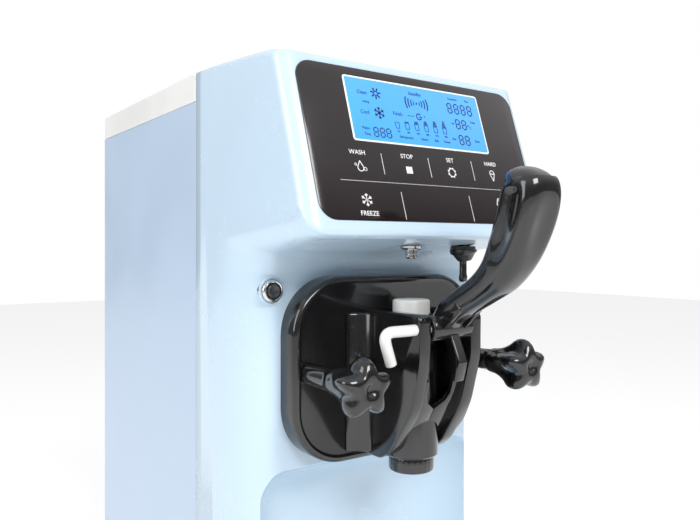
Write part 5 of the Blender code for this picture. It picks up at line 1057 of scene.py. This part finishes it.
screws = bmesh.new()
for k, (x, z) in enumerate(((-0.108, 0.045), (0.108, 0.045), (-0.108, 0.235), (0.108, 0.235),
                            (-0.108, 0.42),
                            (0.108, 0.42), (-0.108, 0.600), (0.108, 0.600), (0.0, 0.600), (0.0, 0.045))):
    pan_head(screws, x, z, 0.0036, 0.4 * k)
piece("rear_screws", screws, polished_steel, weighted=False, keep_normals=True)
LOUVRE_PITCH = 0.016
LOUVRE_HALF_WIDTH = 0.070
condenser_low, condenser_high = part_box("condenser")
condenser_mid = (condenser_low.z + condenser_high.z) / 2.0
louvres = bmesh.new()
for lowest, rows_high in ((condenser_mid - 4 * LOUVRE_PITCH, 9), (head_z - 0.040, 5)):
    for row in range(rows_high):
        z = lowest + LOUVRE_PITCH * row
        lip = bmesh.new()
        line = [(rear_y - 0.0006, z + 0.0031), (rear_y + 0.0042, z + 0.0012),
                (rear_y + 0.0040, z + 0.0002), (rear_y - 0.0006, z + 0.0020)]
        upright(lip, line, -LOUVRE_HALF_WIDTH, LOUVRE_HALF_WIDTH)
        soften(lip, 0.0003, 2)
        add_solid(louvres, lip)
piece("rear_louvres", louvres, powder_coat, weighted=False, keep_normals=True)

# --- Top cover and hopper lid -------------------------------------------------------------------
# The cover is a white moulding with a deep skirt that drops behind the front moulding and over the
# sheet sides. The lid lies over the hopper flange and has a finger ridge.
white_moulding = finish_with_grain("white_moulding", (0.76, 0.76, 0.745), (0.80, 0.80, 0.785), (0.28, 0.38),
                                   scale=800.0,
                                   bump=0.03, height=0.0003, coat=0.2, coat_rough=0.15)
cover_low, cover_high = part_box("top_cover")
middle_y = (cover_low.y + cover_high.y) / 2.0
half_deep = (cover_high.y - cover_low.y) / 2.0
hopper_low, hopper_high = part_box("hopper")
hopper_mid = (hopper_low.y + hopper_high.y) / 2.0
hopper_half_x, hopper_half_y = 0.070, (hopper_high.y - hopper_low.y) / 2.0 - 0.010


def stack_loops(bm, rows):
    """Rings given as (half across, half deep, radius, middle, height) from first to last."""
    return [rounded_ring(bm, a, b, r, 8, lambda p, q, m=m, z=z: (p, m + q, z)) for a, b, r, m, z in rows]


cover = bmesh.new()
w, d, t = half_width, half_deep, cover_high.z
low_z = cover_low.z
loops = stack_loops(cover, [
    (w - 0.0006, d - 0.0006, 0.0024, middle_y, low_z), (w, d, 0.003, middle_y, low_z + 0.0006),
    (w, d, 0.003, middle_y, t - 0.0034), (w - 0.0004, d - 0.0004, 0.003, middle_y, t - 0.0019),
    (w - 0.0012, d - 0.0012, 0.003, middle_y, t - 0.0007), (w - 0.0030, d - 0.0030, 0.003, middle_y, t),
    (hopper_half_x + 0.0016, hopper_half_y + 0.0016, 0.0216, hopper_mid, t),
    (hopper_half_x + 0.0006, hopper_half_y + 0.0006, 0.0206, hopper_mid, t - 0.0010),
    (hopper_half_x + 0.0006, hopper_half_y + 0.0006, 0.0206, hopper_mid, t - 0.0030),
    (w - 0.003, d - 0.003, 0.002, middle_y, t - 0.003), (w - 0.003, d - 0.003, 0.002, middle_y, low_z)])
bridge(cover, loops, cap=False)
bmesh.ops.bridge_loops(cover, edges=loops[-1] + loops[0])
piece("cover_moulding", cover, white_moulding, stands_for=["top_cover"],
      weighted=True)
lid = bmesh.new()
lid_low, lid_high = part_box("hopper_lid")
lid_grow = (lid_high.x - hopper_half_x)
top_of_lid = lid_low.z + 0.0054
rows = []
for grow, z in ((lid_grow - 0.0041, lid_low.z + 0.0016), (lid_grow - 0.0041, lid_low.z),
                (lid_grow - 0.0006, lid_low.z),
                (lid_grow, lid_low.z + 0.0006), (lid_grow, top_of_lid - 0.0016),
                (lid_grow - 0.0005, top_of_lid - 0.0006),
                (lid_grow - 0.0018, top_of_lid), (lid_grow - 0.0100, top_of_lid),
                (lid_grow - 0.0108, top_of_lid - 0.0006),
                (lid_grow - 0.0150, top_of_lid - 0.0008)):
    rows.append((hopper_half_x + grow, hopper_half_y + grow, 0.020 + grow, hopper_mid, z))
bridge(lid, stack_loops(lid, rows))
ridge = bmesh.new()
ridge_rows = [(0.0360, 0.0090, 0.0085, hopper_mid, top_of_lid - 0.0010),
              (0.0345, 0.0075, 0.0070, hopper_mid, top_of_lid),
              (0.0338, 0.0068, 0.0063, hopper_mid, top_of_lid + 0.0016),
              (0.0334, 0.0064, 0.0060, hopper_mid, lid_high.z - 0.0012),
              (0.0322, 0.0052, 0.0048, hopper_mid, lid_high.z - 0.0002),
              (0.0300, 0.0030, 0.0028, hopper_mid, lid_high.z)]
bridge(ridge, stack_loops(ridge, ridge_rows))
add_solid(lid, ridge)
piece("lid_moulding", lid, white_moulding, body="lid", stands_for=["hopper_lid"],
      weighted=True,
      keep_normals=False)

# --- Drip tray and grid -------------------------------------------------------------------------
# A black moulded tray hangs by its rim in the nose of the machine. The grid in it is punched and
# brushed stainless sheet with rows of long slots.
satin_black = finish_with_grain("satin_black", (0.020, 0.020, 0.022), (0.034, 0.034, 0.037), (0.34, 0.48),
                                scale=800.0,
                                bump=0.10, height=0.0004)
tray_low, tray_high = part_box("drip_tray")
tray_mid = (tray_low.y + tray_high.y) / 2.0
tray_x, tray_y = (tray_high.x - tray_low.x) / 2.0 - 0.006, (tray_high.y - tray_low.y) / 2.0 - 0.006
tray = bmesh.new()
rows = []
floor_z, rim_z = tray_low.z, tray_high.z
for grow, z in ((-0.0060, floor_z + 0.0021), (-0.0032, floor_z + 0.0035), (-0.0021, floor_z + 0.0060),
                (-0.0020, rim_z - 0.0062),
                (0.0028, rim_z - 0.0060), (0.0030, rim_z - 0.0006), (0.0036, rim_z), (0.0054, rim_z),
                (0.0060, rim_z - 0.0006),
                (0.0060, rim_z - 0.0016), (0.0050, rim_z - 0.0017), (0.0050, rim_z - 0.0076),
                (0.0, rim_z - 0.0078),
                (0.0, floor_z + 0.0040), (-0.0012, floor_z + 0.0012), (-0.0040, floor_z)):
    rows.append((tray_x + grow, tray_y + grow, 0.0100 + grow, tray_mid, z))
bridge(tray, stack_loops(tray, rows))
piece("tray_moulding", tray, satin_black, body="tray", stands_for=["drip_tray"],
      weighted=True)
grid_low, grid_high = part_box("drip_grid")
grid_steel = finish_with_grain("grid_steel", (0.50, 0.50, 0.51), (0.60, 0.60, 0.61), (0.22, 0.34),
                               metal=1.0, scale=1800.0,
                               bump=0.05, height=0.0002)
grid_x, grid_y = (grid_high.x - grid_low.x) / 2.0, (grid_high.y - grid_low.y) / 2.0
sheet = bmesh.new()
rows = [(grid_x - 0.0010, grid_y - 0.0010, 0.009, tray_mid, grid_low.z),
        (grid_x, grid_y, 0.010, tray_mid, grid_low.z + 0.0006),
        (grid_x, grid_y, 0.010, tray_mid, grid_high.z - 0.0008),
        (grid_x - 0.0008, grid_y - 0.0008, 0.0092, tray_mid, grid_high.z),
        (grid_x - 0.0052, grid_y - 0.0052, 0.006, tray_mid, grid_high.z),
        (grid_x - 0.0064, grid_y - 0.0064, 0.005, tray_mid, grid_high.z - 0.0016)]
bridge(sheet, stack_loops(sheet, rows))
grid_piece = piece("punched_grid", sheet, grid_steel, body="grid",
                   stands_for=["drip_grid"],
                   weighted=False)
slots = bmesh.new()
for row in range(9):
    for column in (-1, 0, 1):
        one = bmesh.new()
        y = tray_mid + (row - 4) * 0.0098
        loops = [rounded_ring(one, 0.0200, 0.0021, 0.0020, 4, lambda a, b,
                              z=z: (column * 0.0460 + a, y + b, z))
                 for z in (grid_low.z - 0.01, grid_high.z + 0.01)]
        bridge(one, loops)
        add_solid(slots, one)
cut_away(grid_piece, [cutter("grid_slots", slots)])

# --- Feet, base pan and rear fittings -----------------------------------------------------------
# Ribbed rubber feet are screwed up into a folded zinc-plated pan. The mains inlet and the rocker
# switch snap into the rear sheet.
foot_rubber = finish_with_grain("foot_rubber", (0.014, 0.014, 0.014), (0.026, 0.026, 0.026), (0.55, 0.72),
                                scale=1200.0,
                                bump=0.2, height=0.0005)
for word in ("front_left", "front_right", "rear_left", "rear_right"):
    low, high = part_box("foot_" + word)
    centre = (low + high) / 2.0
    foot = turned([(0.0, 0.0), (0.0150, 0.0), (0.0162, 0.0008), (0.0168, 0.0030), (0.0172, 0.0050),
                   (0.0166, 0.0056),
                   (0.0166, 0.0068), (0.0175, 0.0074), (0.0176, 0.0120), (0.0170, 0.0126), (0.0170, 0.0138),
                   (0.0180, 0.0144), (0.0184, 0.0260), (0.0185, 0.0290), (0.0180, 0.0299), (0.0040, 0.0299),
                   (0.0040, 0.0339), (0.0, 0.0339)], (centre.x, centre.y, low.z), steps=48)
    piece("foot_" + word + "_ribbed", foot, foot_rubber, stands_for=["foot_" + word],
          weighted=False)
zinc = finish_with_grain("zinc_sheet", (0.42, 0.43, 0.44), (0.56, 0.57, 0.58), (0.30, 0.48), metal=1.0,
                         scale=260.0,
                         bump=0.06, height=0.0003)
dress(["base_pan", "inner_frame", "mount_plate"], zinc)
dress(["mains_inlet", "switch_housing", "fan_shroud"], satin_black)
rocker_red = finish_with_grain("rocker_red", (0.36, 0.014, 0.012), (0.44, 0.020, 0.016), (0.20, 0.30),
                               scale=900.0,
                               bump=0.02, coat=0.4, height=0.0002)
dress(["power_rocker"], rocker_red)
inlet_low, inlet_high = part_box("mains_inlet")
blades = bmesh.new()
for x, z in ((-0.0060, -0.0020), (0.0, 0.0022), (0.0060, -0.0020)):
    blade = bmesh.new()
    bmesh.ops.create_cube(blade, size=1.0)
    bmesh.ops.scale(blade, vec=(0.0016, 0.0130, 0.0040), verts=blade.verts)
    soften(blade, 0.0004, 2)
    bmesh.ops.translate(blade, vec=((inlet_low.x + inlet_high.x) / 2.0 + x, inlet_high.y - 0.0120,
                                    (inlet_low.z + inlet_high.z) / 2.0 + z), verts=blade.verts)
    add_solid(blades, blade)
piece("inlet_blades", blades, polished_steel, weighted=False, keep_normals=True)

# --- Hopper, freezing cylinder and what turns in it ---------------------------------------------
# The hopper is a pressed and polished steel tub. The cylinder under it is jacketed in foam, and its
# beater is white acetal driven through a cast gearbox by a belt.
brushed = finish_with_grain("brushed_steel", (0.52, 0.52, 0.53), (0.64, 0.64, 0.65), (0.18, 0.30),
                            metal=1.0,
                            scale=1500.0, bump=0.04, height=0.0002)
dress(["hopper", "freezing_cylinder", "stud_left", "stud_right"], brushed)
dress(["beater"], acetal)
clear_rubber = finish_with_grain("clear_rubber", (0.58, 0.57, 0.54), (0.66, 0.65, 0.62), (0.40, 0.55),
                                 scale=900.0,
                                 bump=0.05, height=0.0003)
dress(["lid_seal", "air_tube_outer"], clear_rubber)
blue_tube = finish_with_grain("blue_tube", (0.10, 0.20, 0.42), (0.13, 0.24, 0.48), (0.28, 0.40),
                              scale=900.0,
                              bump=0.03, height=0.0002)
dress(["air_tube_inner"], blue_tube)
red_rubber = finish_with_grain("red_silicone", (0.38, 0.060, 0.035), (0.46, 0.080, 0.045), (0.42, 0.56),
                               scale=1000.0,
                               bump=0.05, height=0.0003)
dress(["head_seal", "plunger_ring_lower", "plunger_ring_upper"], red_rubber)
dress(["shaft_seal"], foot_rubber)
foam = finish_with_grain("foam_jacket", (0.70, 0.60, 0.38), (0.80, 0.71, 0.48), (0.80, 0.95), scale=320.0,
                         bump=0.5,
                         height=0.0012)
dress(["insulation_jacket"], foam)
cast = finish_with_grain("cast_alloy", (0.40, 0.40, 0.41), (0.52, 0.52, 0.53), (0.42, 0.60), metal=1.0,
                         scale=420.0,
                         bump=0.25, height=0.0006)
dress(["gearbox", "reducer_pulley", "motor_pulley", "fan_motor"], cast)
belt = finish_with_grain("belt_rubber", (0.018, 0.018, 0.018), (0.032, 0.032, 0.032), (0.55, 0.70),
                         scale=600.0,
                         bump=0.2, height=0.0004)
dress(["drive_belt"], belt)

# --- Refrigeration ------------------------------------------------------------------------------
# A black enamelled compressor stands on the pan; bare copper lines run from it to the coil and to the
# finned condenser, which a small axial fan cools.
enamel = finish_with_grain("black_enamel", (0.012, 0.012, 0.013), (0.022, 0.022, 0.024), (0.22, 0.38),
                           scale=500.0,
                           bump=0.08, height=0.0004, coat=0.3)
dress(["compressor", "drive_motor"], enamel)
copper = finish_with_grain("bare_copper", (0.60, 0.27, 0.15), (0.78, 0.38, 0.23), (0.22, 0.40), metal=1.0,
                           scale=420.0,
                           bump=0.05, height=0.0003)
dress(["evaporator_coil", "suction_line", "discharge_line", "liquid_line"], copper)
fins = finish_with_grain("fin_aluminium", (0.50, 0.51, 0.52), (0.62, 0.63, 0.64), (0.35, 0.50), metal=1.0,
                         scale=900.0,
                         bump=0.2, height=0.0003)
dress(["condenser"], fins)
fan_grey = finish_with_grain("fan_grey", (0.30, 0.31, 0.33), (0.38, 0.39, 0.41), (0.35, 0.48), scale=800.0,
                             bump=0.05,
                             height=0.0003)
dress(["fan"], fan_grey)
board = finish_with_grain("board_green", (0.012, 0.10, 0.035), (0.020, 0.15, 0.055), (0.25, 0.45),
                          scale=380.0, bump=0.2,
                          height=0.0004)
dress(["control_board"], board)
